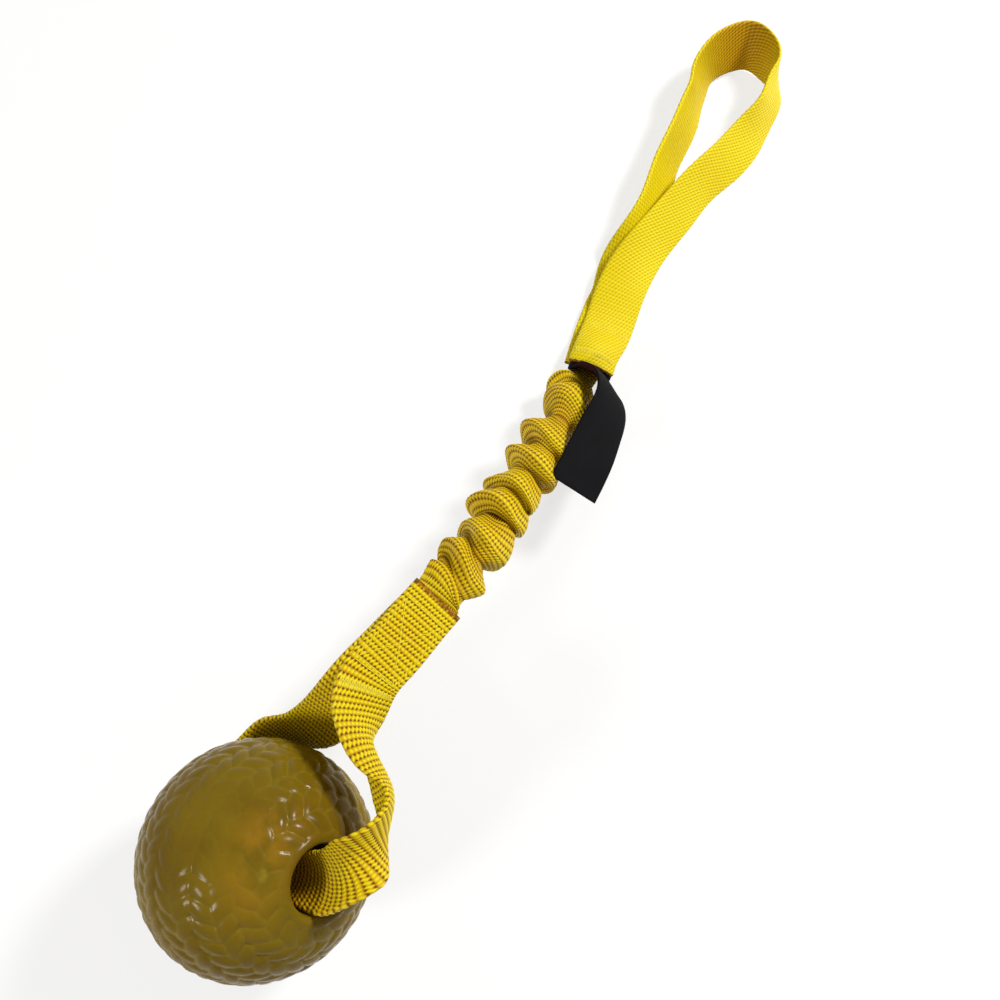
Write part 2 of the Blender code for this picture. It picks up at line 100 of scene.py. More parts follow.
# The floor's see-through share to the camera, and between which distances that grows to one.
FLOOR_SEE_THROUGH = 0.72
FLOOR_CLEARS = (0.55, 1.0)
LAMP_COLOUR = (1.0, 0.99, 0.97)
LAMP_TARGET = (-0.08, 0.0, 0.02)
CAMERA_PLACE = (-0.17577, -0.04401, 0.37126)
CAMERA_AXES = ((0.4833, -0.8755, 0.0), (0.8495, 0.4690, 0.2416), (-0.2115, -0.1168, 0.9704))

# Stations of the ball loop about the ball's centre, in shares of LOOP_REACH: place,
# then azimuth and elevation of the direction across the strap, and its curl, in degrees.
loop_stations = (
    (2.69, -0.27, 0.14, -109, -10, 0),
    (2.38, -0.22, 0.23, -105, -10, 0),
    (2.05, -0.17, 0.31, -102, -10, 0),
    (1.75, -0.13, 0.39, -100, -11, 6),
    (1.50, -0.23, 0.48, -97, -25, 50),
    (1.29, -0.45, 0.57, -90, -75, 140),
    (1.12, -0.72, 0.62, 119, -74, 110),
    (0.88, -0.88, 0.73, -165, -58, 30),
    (0.55, -0.85, 0.84, -156, -15, -50),
    (0.25, -0.71, 0.64, -156, -5, -92),
    (0.16, -0.41, 0.34, -151, -11, -108),
    (0.04, -0.02, -0.04, -142, -19, -105),
    (-0.08, 0.36, -0.41, -128, -29, -100),
    (-0.16, 0.61, -0.64, -115, -37, -80),
    (-0.04, 0.77, -0.75, -108, -42, -20),
    (0.33, 0.76, -0.77, -104, -42, 0),
    (0.68, 0.58, -0.61, -98, -43, 0),
    (0.93, 0.45, -0.42, -96, -34, 0),
    (1.09, 0.23, -0.21, -92, -22, 0),
    (1.25, 0.11, -0.05, -87, -9, 0),
    (1.74, -0.06, 0.34, -100, -11, -6),
    (2.03, -0.12, 0.24, -102, -10, 0),
    (2.34, -0.17, 0.07, -105, -10, 0),
    (2.64, -0.24, -0.03, -109, -10, 0),
)

# Stations of the handle loop from its seam, in shares of HANDLE_REACH.
handle_stations = (
    (-0.053, -0.003, 0.012, -86, 0, 0),
    (0.050, 0.018, 0.012, -86, 0, 0),
    (0.100, 0.025, 0.012, -85, 0, 0),
    (0.130, 0.029, 0.007, -84, 0, 0),
    (0.157, 0.030, 0.0052, -84, 0, 0),
    (0.235, 0.048, 0.005, -85, 0, 0),
    (0.318, 0.050, 0.035, -79, -26, 0),
    (0.412, 0.052, 0.053, -61, -45, 0),
    (0.555, 0.082, 0.059, -37, -52, 0),
    (0.670, 0.091, 0.060, -39, -53, 0),
    (0.745, 0.100, 0.060, -30, -52, 0),
    (0.800, 0.111, 0.062, -21, -53, 0),
    (0.836, 0.120, 0.065, -38, -58, 0),
    (0.875, 0.123, 0.067, -65, -65, 0),
    (0.922, 0.112, 0.067, -108, -64, 0),
    (0.970, 0.084, 0.064, -131, -58, 0),
    (0.999, 0.049, 0.063, -152, -55, 0),
    (0.993, 0.006, 0.067, -161, -63, 0),
    (0.971, -0.033, 0.067, -144, -63, 0),
    (0.942, -0.063, 0.068, -118, -66, 0),
    (0.897, -0.078, 0.067, -72, -63, 0),
    (0.847, -0.084, 0.063, -46, -56, 0),
    (0.775, -0.079, 0.054, -50, -43, 0),
    (0.646, -0.055, 0.054, -75, -44, 0),
    (0.562, -0.028, 0.056, -74, -46, 0),
    (0.445, -0.005, 0.051, -76, -40, 0),
    (0.333, 0.016, 0.045, -77, -34, 0),
    (0.188, 0.024, 0.031, -82, -12, 0),
    (0.090, 0.008, 0.025, -82, -6, 20),
    (0.050, 0.002, 0.035, -83, -6, 40),
    (-0.008, -0.003, 0.0645, -86, -4, 84),
    (-0.063, -0.010, 0.0680, -90, -4, 86),
)

# Stations of the label from the handle's seam, in shares of LABEL_REACH.
label_stations = (
    (-0.030, -0.020, 0.163, -86, -4, 103),
    (-0.120, -0.030, 0.163, -88, -4, 103),
    (-0.198, -0.045, 0.169, -90, -8, 95),
    (-0.250, -0.120, 0.290, -94, -32, 50),
    (-0.325, -0.230, 0.390, -96, -50, 15),
    (-0.486, -0.325, 0.430, -84, -46, 0),
    (-0.690, -0.355, 0.474, -80, -34, 0),
    (-0.918, -0.376, 0.505, -78, -23, 0),
    (-1.216, -0.388, 0.530, -80, -18, 0),
)

# The bungee's middle line, in shares of SLEEVE_REACH: place, azimuth and elevation across,
# half width and half height of the sleeve's bore, half width of the elastic.
core_stations = (
    (-1.305, 0.036, 0.426, -105, -10, 0.076, 0.0125, 0.055),
    (-1.198, 0.019, 0.393, -105, -10, 0.076, 0.0125, 0.055),
    (-1.120, 0.016, 0.370, -100, -8, 0.054, 0.040, 0.040),
    (-0.950, -0.004, 0.322, -92, -3, 0.050, 0.050, 0.040),
    (-0.770, -0.012, 0.272, -90, 0, 0.050, 0.050, 0.040),
    (-0.580, -0.026, 0.222, -90, 0, 0.050, 0.050, 0.040),
    (-0.400, -0.025, 0.172, -88, 0, 0.050, 0.050, 0.040),
    (-0.250, -0.005, 0.125, -88, 0, 0.046, 0.044, 0.038),
    (-0.165, 0.000, 0.068, -87, -3, 0.042, 0.022, 0.034),
    (-0.100, -0.006, 0.049, -86, -4, 0.043, 0.0112, 0.034),
    (-0.010, -0.004, 0.048, -86, -4, 0.043, 0.0112, 0.034),
)

# The sleeve's ruffles, necks and crests by turns: place, how far the left side leads
# the right, half width and half height.
ruffle_stations = (
    (-1.300, 0.036, 0.425, 0.000, 0.085, 0.0195),
    (-1.190, 0.018, 0.391, 0.000, 0.086, 0.0200),
    (-1.139, 0.024, 0.376, 0.078, 0.086, 0.036),
    (-1.113, 0.014, 0.369, 0.074, 0.094, 0.036),
    (-1.058, 0.006, 0.355, 0.056, 0.108, 0.086),
    (-1.004, 0.001, 0.339, 0.052, 0.076, 0.070),
    (-0.945, -0.014, 0.320, 0.016, 0.110, 0.100),
    (-0.868, -0.012, 0.299, -0.012, 0.078, 0.070),
    (-0.818, -0.004, 0.286, -0.019, 0.115, 0.100),
    (-0.768, -0.012, 0.272, -0.015, 0.094, 0.080),
    (-0.726, -0.012, 0.261, -0.008, 0.105, 0.096),
    (-0.656, -0.018, 0.242, 0.000, 0.076, 0.070),
    (-0.600, -0.027, 0.227, -0.004, 0.118, 0.103),
    (-0.544, -0.029, 0.212, 0.016, 0.083, 0.078),
    (-0.483, -0.018, 0.196, 0.020, 0.106, 0.100),
    (-0.404, -0.031, 0.174, 0.017, 0.068, 0.070),
    (-0.303, -0.012, 0.143, 0.026, 0.096, 0.100),
    (-0.253, 0.002, 0.126, 0.004, 0.086, 0.084),
    (-0.222, 0.008, 0.103, -0.009, 0.093, 0.074),
    (-0.162, 0.001, 0.064, 0.004, 0.058, 0.036),
    (-0.100, -0.006, 0.049, 0.000, 0.054, 0.0190),
    (-0.010, -0.004, 0.048, 0.000, 0.054, 0.0190),
)
SPLIT_NECK = 7
COLOUR = {"subtype": "COLOR", "size": 3}


class ToySizes(bpy.types.PropertyGroup):
    ball_diameter: bpy.props.FloatProperty(
        name="Ball Diameter", description="Across the ball over its scales", default=0.0742, unit="LENGTH"
    )
    bore_diameter: bpy.props.FloatProperty(
        name="Bore Diameter", description="Hole that the strap runs through", default=0.0204, unit="LENGTH"
    )
    bore_rim: bpy.props.FloatProperty(
        name="Bore Rim", description="Rounding of the bore's mouths", default=0.0018, unit="LENGTH"
    )
    scale_length: bpy.props.FloatProperty(
        name="Scale Pitch", description="Pitch of the scales along a ring", default=0.0061, unit="LENGTH"
    )
    scale_height: bpy.props.FloatProperty(
        name="Scale Height", description="How far the scales stand up", default=0.0013, unit="LENGTH"
    )
    webbing_width: bpy.props.FloatProperty(
        name="Webbing Width", description="Width of both straps", default=0.0200, unit="LENGTH"
    )
    webbing_thickness: bpy.props.FloatProperty(
        name="Webbing Thickness", description="Thickness of both straps", default=0.0016, unit="LENGTH"
    )
    rib_pitch: bpy.props.FloatProperty(
        name="Rib Pitch", description="Distance between the webbing's ribs", default=0.00185, unit="LENGTH"
    )
    bead_pitch: bpy.props.FloatProperty(
        name="Bead Pitch", description="Distance between its yarn beads", default=0.00132, unit="LENGTH"
    )
    weave_depth: bpy.props.FloatProperty(
        name="Weave Depth", description="Relief of the weave", default=0.00054, unit="LENGTH"
    )
    label_width: bpy.props.FloatProperty(
        name="Label Width", description="Width of the ribbon", default=0.0190, unit="LENGTH"
    )
    label_thickness: bpy.props.FloatProperty(
        name="Label Thickness", description="Both layers together", default=0.0007, unit="LENGTH"
    )
    thread_diameter: bpy.props.FloatProperty(
        name="Thread Diameter", description="Sewing thread", default=0.00038, unit="LENGTH"
    )


class ToyColours(bpy.types.PropertyGroup):
    yarn: bpy.props.FloatVectorProperty(
        name="Yarn", description="Top of the weave", default=(0.84, 0.73, 0.006), **COLOUR
    )
    # Painted shade: the brown given to the webbing's gaps between yarns and to its filament lines.
    gap: bpy.props.FloatVectorProperty(
        name="Gap", description="Between the yarns", default=(0.115, 0.045, 0.003), **COLOUR
    )
    melted: bpy.props.FloatVectorProperty(
        name="Heat-cut End", description="Melted ends", default=(0.40, 0.155, 0.008), **COLOUR
    )
    rubber: bpy.props.FloatVectorProperty(
        name="Rubber", description="Body of the ball", default=(0.172, 0.113, 0.005), **COLOUR
    )
    # Painted light: the pale that the creases and the strap's spots are mixed towards.
    rubber_pale: bpy.props.FloatVectorProperty(
        name="Pale Rubber", description="Thin edges of the scales", default=(0.30, 0.235, 0.02), **COLOUR
    )
    rubber_warm: bpy.props.FloatVectorProperty(
        name="Warm Rubber", description="Strap shining through", default=(0.30, 0.155, 0.008), **COLOUR
    )
    label: bpy.props.FloatVectorProperty(
        name="Label", description="Face of the ribbon", default=(0.0035, 0.0035, 0.0042), **COLOUR
    )
    label_back: bpy.props.FloatVectorProperty(
        name="Label Back", description="Back of the ribbon", default=(0.035, 0.010, 0.012), **COLOUR
    )
    elastic: bpy.props.FloatVectorProperty(
        name="Elastic", description="Core of the bungee", default=(0.70, 0.64, 0.48), **COLOUR
    )


def sizes():
    return bpy.context.scene.toy_sizes


def colours():
    return bpy.context.scene.toy_colours


def unit(vectors):
    return vectors / np.linalg.norm(vectors, axis=-1, keepdims=True)


def direction(azimuth, elevation):
    flat = np.cos(elevation)
    return np.stack([np.cos(azimuth) * flat, np.sin(azimuth) * flat, np.sin(elevation)], axis=-1)


def natural_spline(knots, rows, at):
    """The natural cubic spline through the rows, read at the places in at."""
    count = len(knots)
    gaps = np.diff(knots)
    matrix = np.eye(count)
    right = np.zeros_like(rows)
    for i in range(1, count - 1):
        matrix[i, i - 1 : i + 2] = gaps[i - 1], 2 * (gaps[i - 1] + gaps[i]), gaps[i]
        ahead = (rows[i + 1] - rows[i]) / gaps[i]
        behind = (rows[i] - rows[i - 1]) / gaps[i - 1]
        right[i] = 6 * (ahead - behind)
    bends = np.linalg.solve(matrix, right)
    k = np.clip(np.searchsorted(knots, at, side="right") - 1, 0, count - 2)
    gap = gaps[k][:, None]
    a = (knots[k + 1] - at)[:, None] / gap
    b = (at - knots[k])[:, None] / gap
    curve = (a**3 - a) * bends[k] + (b**3 - b) * bends[k + 1]
    return a * rows[k] + b * rows[k + 1] + curve * gap**2 / 6


class Strap:
    """A line laid through stations, with the direction across it, read by share of its length."""

    def __init__(self, origin, reach, stations, width):
        table = np.array(stations, dtype=float)
        places = np.array(origin) + table[:, :3] * reach
        across = direction(np.radians(table[:, 3]), np.radians(table[:, 4]))
        self.rows = np.hstack([places, across, table[:, 5:]])
        steps = np.linalg.norm(np.diff(places, axis=0), axis=1)
        self.knots = np.concatenate([[0], np.cumsum(steps)])
        self.fine = np.linspace(0, self.knots[-1], FINE_STEPS)
        track = natural_spline(self.knots, self.rows, self.fine)[:, :3]
        runs = np.linalg.norm(np.diff(track, axis=0), axis=1)
        self.run = np.concatenate([[0], np.cumsum(runs)])
        self.length = self.run[-1]
        self.width = width

    def frames(self, shares):
        at = np.interp(np.asarray(shares) * self.length, self.run, self.fine)
        step = self.knots[-1] / FINE_STEPS
        here = natural_spline(self.knots, self.rows, at)
        ahead = natural_spline(self.knots, self.rows, np.minimum(at + step, self.knots[-1]))
        behind = natural_spline(self.knots, self.rows, np.maximum(at - step, 0))
        along = unit(ahead[:, :3] - behind[:, :3])
        across = here[:, 3:6]
        across = unit(across - along * np.sum(across * along, axis=1, keepdims=True))
        return here[:, :3], along, across, np.cross(along, across), here[:, 6:]

    def points(self, shares, sides, lifts):
        """Points at shares of the length, sides in shares of half the width, lifts off the middle."""
        middle, _, across, outward, other = self.frames(shares)
        curl = np.radians(other[:, :1]) / self.width
        curl = np.where(np.abs(curl) * self.width < SMALLEST_CURL, SMALLEST_CURL / self.width, curl)
        side = np.asarray(sides, dtype=float).reshape(-1, 1) * self.width / 2
        lift = np.asarray(lifts, dtype=float).reshape(-1, 1)
        turn = curl * side
        skin = middle + across * np.sin(turn) / curl - outward * (1 - np.cos(turn)) / curl
        return skin + (outward * np.cos(turn) + across * np.sin(turn)) * lift


def weave_height(rib, bead, ribbing=1.0):
    """Height of plain-woven webbing from 0 to 1, where rib and bead count the ribs and the beads."""
    ridge = np.abs(np.sin(np.pi * (rib + RIB_SWAY * np.sin(2 * np.pi * bead))))
    hole = np.sin(2 * np.pi * bead + np.pi * rib)
    level = WEAVE_FLOOR + FLAT_LEVEL * (1 - ribbing)
    return level + RIB_SHARE * ribbing * ridge + HOLE_SHARE * hole * (1 - 0.20 * ridge)


def deselect():
    if bpy.context.mode != "OBJECT":
        bpy.ops.object.mode_set(mode="OBJECT")
    bpy.ops.object.select_all(action="DESELECT")


def make_active(obj):
    deselect()
    obj.select_set(True)
    bpy.context.view_layer.objects.active = obj


def ring_quads(rings, sides, wrap=False):
    """Corner numbers of the quads between rings of the same number of points."""
    i = np.arange(rings if wrap else rings - 1)[:, None]
    j = np.arange(sides)[None, :]
    here, there = i * sides, (i + 1) % rings * sides
    k = (j + 1) % sides
    return np.stack([here + j, here + k, there + k, there + j], axis=-1).reshape(-1, 4)


def end_caps(rings, count, across):
    """Corner numbers of the faces that close both ends of a flat tube, with so many points across."""
    caps = []
    for base in (0, (rings - 1) * count):
        for j in range(across - 1):
            caps.append((base + j, base + j + 1, base + count - 3 - j, base + count - 2 - j))
        caps.append((base + across - 1, base + across, base + across + 1))
        caps.append((base, base + count - 1, base + count - 2))
    return caps


def grid(rows, columns):
    """Both rows of values, spread over every ring and every point of a ring."""
    return np.broadcast_arrays(rows[:, None], columns[None, :])


def corner_uvs(ribs, beads, quads):
    return np.stack([ribs.ravel()[quads], beads.ravel()[quads]], axis=-1).reshape(-1, 2)


def set_marks(mesh, marks):
    for mark, values in marks.items():
        layer = mesh.attributes.new(mark, "FLOAT", "POINT")
        layer.data.foreach_set("value", np.asarray(values, np.float32))


def add_object(name, data):
    obj = bpy.data.objects.new(name, data)
    bpy.context.scene.collection.objects.link(obj)
    return obj


def shell(name, points, quads, caps, uvs, marks, material):
    """A closed smooth mesh from rings, with a UV of rib and bead counts and named point attributes."""
    mesh = bpy.data.meshes.new(name)
    faces = [tuple(quad) for quad in quads.tolist()] + [tuple(cap) for cap in caps]
    mesh.from_pydata([tuple(point) for point in points.tolist()], [], faces)
    layer = mesh.uv_layers.new(name="Weave")
    flat = np.zeros((len(mesh.loops), 2), np.float32)
    flat[: len(uvs)] = uvs
    layer.data.foreach_set("uv", flat.ravel())
    set_marks(mesh, marks)
    mesh.materials.append(material)
    obj = add_object(name, mesh)
    make_active(obj)
    bpy.ops.object.mode_set(mode="EDIT")
    bpy.ops.mesh.select_all(action="SELECT")
    bpy.ops.mesh.normals_make_consistent(inside=False)
    bpy.ops.object.mode_set(mode="OBJECT")
    bpy.ops.object.shade_smooth()
    deselect()
    return obj


def strap_shell(
    name, strap, thickness, steps_per_rib, relief, pitch, material, end_length,
    rests=False, ribbing=1.0, shade_patch=(0.5, 0.0, 0.0),
):
    """A woven strap with the weave as relief; shade_patch gives where painted shade darkens it, how far, and
    its share on the outer face.
    """
    shade_at, shade_over, outside = shade_patch
    rings = int(round(strap.length / pitch[0] * steps_per_rib)) + 1
    shares = np.linspace(0, 1, rings)
    top = np.linspace(-0.955, 0.955, STRAP_CELLS)
    sides = np.concatenate([top, [0.99], top[::-1], [-0.99]])
    face = np.concatenate([np.ones(STRAP_CELLS), [0], -np.ones(STRAP_CELLS), [0]])
    count = len(sides)
    ribs, beads = grid(np.arange(rings) / steps_per_rib, sides * strap.width / 2 / pitch[1])
    height = weave_height(ribs + np.where(face < 0, 1, 0), beads, ribbing)
    fade = np.clip(np.minimum(shares, 1 - shares) * strap.length / END_FADE, 0, 1)[:, None]
    edge = np.clip((1 - np.abs(sides)) * strap.width / 2 / EDGE_ROUNDING, 0.25, 1)[None, :]
    skin = thickness / 2 - relief * 0.55 * (1 - fade * 0.4) + relief * (height - 0.1) * fade
    lift = face * skin * edge**0.35
    wide = sides[None, :] * (1 + (0.018 * (height - 0.5) * fade) * (np.abs(sides) > 0.9)[None, :])
    across = np.repeat(shares, count)
    points = strap.points(across, wide.ravel(), lift.ravel()).reshape(rings, count, 3)
    if rests:
        points[..., 2] += np.maximum(0, -points[..., 2].min(axis=1, keepdims=True))
    quads = ring_quads(rings, count)
    distance = np.minimum(shares, 1 - shares) * strap.length
    melt = np.repeat(np.clip(1.15 - distance / end_length, 0, 1), count)
    # Painted shade: a band across the strap at shade_at, full on one face and by its share on the other.
    painted_shade = np.exp(-(((shares - shade_at) / max(shade_over, 1e-6)) ** 2))
    wear_and_painted_shade = painted_shade[:, None] * np.where(face < 0, 1.0, outside)[None, :]
    marks = {"melt": melt, "wear_and_painted_shade": wear_and_painted_shade.ravel()}
    caps, uvs = end_caps(rings, count, STRAP_CELLS), corner_uvs(ribs, beads, quads)
    return shell(name, points.reshape(-1, 3), quads, caps, uvs, marks, material)


def new_material(name):
    material = bpy.data.materials.new(name)
    material.use_nodes = True
    tree = material.node_tree
    return material, tree, tree.nodes["Principled BSDF"]


def feed(tree, node, **values):
    """Links or sets the node's named sockets."""
    for label, value in values.items():
        socket = node.inputs[label.replace("_", " ")]
        if isinstance(value, bpy.types.NodeSocket):
            tree.links.new(value, socket)
        else:
            socket.default_value = value
    return node


def math_node(tree, operation, *values):
    node = tree.nodes.new("ShaderNodeMath")
    node.operation = operation
    for socket, value in zip(node.inputs, values):
        if isinstance(value, bpy.types.NodeSocket):
            tree.links.new(value, socket)
        else:
            socket.default_value = value
    return node.outputs[0]


def times(tree, first, second):
    return math_node(tree, "MULTIPLY", first, second)


def plus(tree, first, second):
    return math_node(tree, "ADD", first, second)


def sine(tree, value):
    return math_node(tree, "SINE", value)


def tinted(colour, *shares):
    """The colour with its channels times one share, or times three."""
    return tuple(channel * share for channel, share in zip(colour, shares * (3 // len(shares))))


def ramp(tree, value, low, high, low_out=0.0, high_out=1.0):
    node = tree.nodes.new("ShaderNodeMapRange")
    node.interpolation_type = "SMOOTHSTEP"
    feed(tree, node, Value=value, From_Min=low, From_Max=high, To_Min=low_out, To_Max=high_out)
    return node.outputs["Result"]


def mix_colour(tree, factor, first, second):
    node = tree.nodes.new("ShaderNodeMix")
    node.data_type = "RGBA"
    feed(tree, node, Factor=factor)
    for slot, value in (("A", first), ("B", second)):
        socket = [s for s in node.inputs if s.name == slot and s.type == "RGBA"][0]
        if isinstance(value, bpy.types.NodeSocket):
            tree.links.new(value, socket)
        else:
            socket.default_value = (*value, 1.0)
    return [s for s in node.outputs if s.type == "RGBA"][0]


def noise(tree, vector, scale, detail=2.0):
    node = tree.nodes.new("ShaderNodeTexNoise")
    feed(tree, node, Vector=vector, Scale=scale, Detail=detail, Roughness=0.5)
    return node.outputs["Fac"]


def object_coordinates(tree):
    return tree.nodes.new("ShaderNodeTexCoord").outputs["Object"]


def weave_uv(tree):
    node = tree.nodes.new("ShaderNodeUVMap")
    node.uv_map = "Weave"
    return node.outputs["UV"]


def attribute(tree, name):
    node = tree.nodes.new("ShaderNodeAttribute")
    node.attribute_name = name
    return node.outputs["Fac"]


def bump(tree, height, strength, distance):
    node = tree.nodes.new("ShaderNodeBump")
    feed(tree, node, Height=height, Strength=strength, Distance=distance)
    return node.outputs["Normal"]


def new_group(name, inputs, outputs):
    group = bpy.data.node_groups.new(name, "ShaderNodeTree")
    for label, kind in inputs:
        group.interface.new_socket(name=label, in_out="INPUT", socket_type=kind)
    for label, kind in outputs:
        group.interface.new_socket(name=label, in_out="OUTPUT", socket_type=kind)
    return group, group.nodes.new("NodeGroupInput"), group.nodes.new("NodeGroupOutput")


def place_group(tree, name, **values):
    node = tree.nodes.new("ShaderNodeGroup")
    node.node_tree = bpy.data.node_groups[name]
    return feed(tree, node, **values)


def weave_group():
    """Plain weave from a UV of rib and bead counts: yarn height, and the filaments of each yarn."""
    group, start, end = new_group(
        "Plain Weave",
        [("Vector", "NodeSocketVector"), ("Filaments", "NodeSocketFloat"), ("Ribbing", "NodeSocketFloat")],
        [("Height", "NodeSocketFloat"), ("Filament", "NodeSocketFloat")],
    )
    split = group.nodes.new("ShaderNodeSeparateXYZ")
    group.links.new(start.outputs["Vector"], split.inputs[0])
    rib, bead = split.outputs["X"], split.outputs["Y"]
    half_turn = times(group, rib, float(np.pi))
    turn = times(group, bead, float(2 * np.pi))
    weaving = times(group, sine(group, turn), RIB_SWAY * float(np.pi))
    ridge = math_node(group, "ABSOLUTE", sine(group, plus(group, half_turn, weaving)))
    hole = sine(group, plus(group, turn, half_turn))
    depth = plus(group, times(group, ridge, -0.20 * HOLE_SHARE), HOLE_SHARE)
    ribbing = start.outputs["Ribbing"]
    level = plus(group, times(group, ribbing, -FLAT_LEVEL), WEAVE_FLOOR + FLAT_LEVEL)
    base = plus(group, times(group, times(group, ridge, RIB_SHARE), ribbing), level)
    group.links.new(plus(group, base, times(group, hole, depth)), end.inputs["Height"])
    twist = plus(group, bead, times(group, rib, 0.12))
    strand = times(group, twist, start.outputs["Filaments"])
    strand = sine(group, times(group, strand, float(2 * np.pi)))
    group.links.new(ramp(group, strand, -1.0, 1.0), end.inputs["Filament"])


def mottle_group():
    """Slow changes of tone over a cloth or a moulding, from 0 to 1."""
    group, start, end = new_group(
        "Tone Drift",
        [("Vector", "NodeSocketVector"), ("Scale", "NodeSocketFloat")],
        [("Tone", "NodeSocketFloat")],
    )
    cloud = noise(group, start.outputs["Vector"], start.outputs["Scale"], 3.0)
    group.links.new(ramp(group, cloud, 0.35, 0.65), end.inputs["Tone"])


def webbing_material(name, shade, contrast=1.0, ribbing=1.0):
    """Shiny polyester webbing: bright yarn with painted shade, amber on its flanks and brown in the gaps
    between the ribs, painted shade where the strap is marked for it, melted ends.
    """
    material, tree, shader = new_material(name)
    cloth = place_group(tree, "Plain Weave", Vector=weave_uv(tree), Filaments=4.0, Ribbing=ribbing)
    height, filament = cloth.outputs["Height"], cloth.outputs["Filament"]
    tone = place_group(tree, "Tone Drift", Vector=object_coordinates(tree), Scale=60.0)
    yarn = tinted(colours().yarn, shade)
    # Painted shade of the weave: amber on the yarns' flanks, brown in the gaps and along the filaments;
    # contrast sets how strong it is.
    amber = tinted(yarn, 0.76, 0.50, 0.6)
    amber = tuple(a * contrast + y * (1 - contrast) for a, y in zip(amber, yarn))
    gap = tuple(g * contrast + a * (1 - contrast) for g, a in zip(colours().gap, amber))
    slope = mix_colour(tree, times(tree, tone.outputs["Tone"], 0.25), amber, yarn)
    top = mix_colour(tree, ramp(tree, height, 0.55, 0.88), slope, yarn)
    body = mix_colour(tree, ramp(tree, height, 0.15, 0.56), gap, top)
    body = mix_colour(tree, times(tree, filament, 0.10), body, gap)
    # Painted shade where the strap's painted-shade mark is: dark brown in the hollows, orange on the yarn
    # tops.
    painted_shade_colour = mix_colour(tree, ramp(tree, height, 0.30, 0.85), (0.20, 0.062, 0.002), (0.56, 0.29, 0.006))
    body = mix_colour(tree, times(tree, attribute(tree, "wear_and_painted_shade"), 0.85), body, painted_shade_colour)
    ragged = noise(tree, object_coordinates(tree), 700.0)
    melt = plus(tree, attribute(tree, "melt"), times(tree, ragged, 0.7))
    burnt = tinted(colours().melted, 0.3)
    scorched = mix_colour(tree, ramp(tree, ragged, 0.35, 0.65), colours().melted, burnt)
    melted = mix_colour(tree, ramp(tree, melt, 0.70, 0.95), body, scorched)
    rough = ramp(tree, height, 0.2, 0.9, 0.60, 0.36)
    relief = bump(tree, plus(tree, height, times(tree, filament, 0.06)), 0.9, 0.00035)
    feed(tree, shader, Base_Color=melted, Roughness=rough, Normal=relief)
    feed(tree, shader, Specular_IOR_Level=0.30, Specular_Tint=(1.0, 0.86, 0.35, 1.0))
    return material


def thread_material(name, hollow, shade):
    """Twisted thread, from the hollow colour up to the shaded yarn colour; the hollow colour is painted shade
    in the twist's grooves.
    """
    material, tree, shader = new_material(name)
    wave = tree.nodes.new("ShaderNodeTexWave")
    feed(tree, wave, Vector=object_coordinates(tree), Scale=900.0, Distortion=1.5)
    twist = wave.outputs["Fac"]
    tone = mix_colour(tree, twist, hollow, tinted(colours().yarn, shade))
    feed(tree, shader, Base_Color=tone, Roughness=0.42, Normal=bump(tree, twist, 0.5, 0.00006))
    return material


def label_material():
    """Black woven ribbon with fine ribs; the inner back is brown."""
    material, tree, shader = new_material("Label Ribbon")
    split = tree.nodes.new("ShaderNodeSeparateXYZ")
    feed(tree, split, Vector=weave_uv(tree))
    ribs = sine(tree, times(tree, split.outputs["X"], float(2 * np.pi)))
    warp = sine(tree, times(tree, split.outputs["Y"], float(2 * np.pi)))
    cloth = plus(tree, times(tree, ribs, 0.5), times(tree, warp, 0.3))
    tone = place_group(tree, "Tone Drift", Vector=object_coordinates(tree), Scale=90.0)
    lit = tuple(c * 1.8 + 0.003 for c in colours().label)
    face = mix_colour(tree, ramp(tree, cloth, -0.8, 0.8), colours().label, lit)
    face = mix_colour(tree, times(tree, tone.outputs["Tone"], 0.35), face, lit)
    sides = mix_colour(tree, attribute(tree, "back"), face, colours().label_back)
    feed(tree, shader, Base_Color=sides, Normal=bump(tree, cloth, 0.5, 0.00008))
    feed(tree, shader, Roughness=0.70, Specular_IOR_Level=0.03)
    return material


def elastic_material():
    """Cream elastic with the same weave, with painted shade between its ribs."""
    material, tree, shader = new_material("Elastic Band")
    cloth = place_group(tree, "Plain Weave", Vector=weave_uv(tree), Filaments=3.0, Ribbing=1.0)
    height = cloth.outputs["Height"]
    tone = mix_colour(tree, height, tinted(colours().elastic, 0.5), colours().elastic)
    feed(tree, shader, Base_Color=tone, Roughness=0.7, Normal=bump(tree, height, 0.7, 0.0002))
    return material


def rubber_material():
    """Translucent olive rubber: painted light along the creases between scales, warm where the strap shines
    through.
    """
    material, tree, shader = new_material("Olive Rubber")
    where = object_coordinates(tree)
    tone = place_group(tree, "Tone Drift", Vector=where, Scale=35.0)
    base, pale = colours().rubber, colours().rubber_pale
    body = mix_colour(tree, tone.outputs["Tone"], tinted(base, 0.80, 0.74, 0.8), base)
    # Painted light: pale along the creases between scales, where the thin translucent rubber shows lighter.
    body = mix_colour(tree, times(tree, attribute(tree, "crease"), 0.22), body, pale)
    cloud = noise(tree, where, 75.0, 3.0)
    glow = times(tree, attribute(tree, "glow"), ramp(tree, cloud, 0.42, 0.60, 0.0, 0.75))
    body = mix_colour(tree, glow, body, colours().rubber_warm)
    # Painted light: pale spots where the strap shines through.
    spots = times(tree, attribute(tree, "glow"), ramp(tree, cloud, 0.38, 0.30, 0.0, 0.6))
    body = mix_colour(tree, spots, body, pale)
    rough = ramp(tree, noise(tree, where, 240.0, 3.0), 0.3, 0.7, 0.12, 0.24)
    grain = bump(tree, noise(tree, where, 420.0), 0.10, 0.0002)
    feed(tree, shader, Base_Color=body, Roughness=rough, Normal=grain, Specular_IOR_Level=0.06)
    feed(tree, shader, Subsurface_Weight=0.25, Subsurface_Radius=(1.0, 0.7, 0.15), Subsurface_Scale=0.004)
    return material


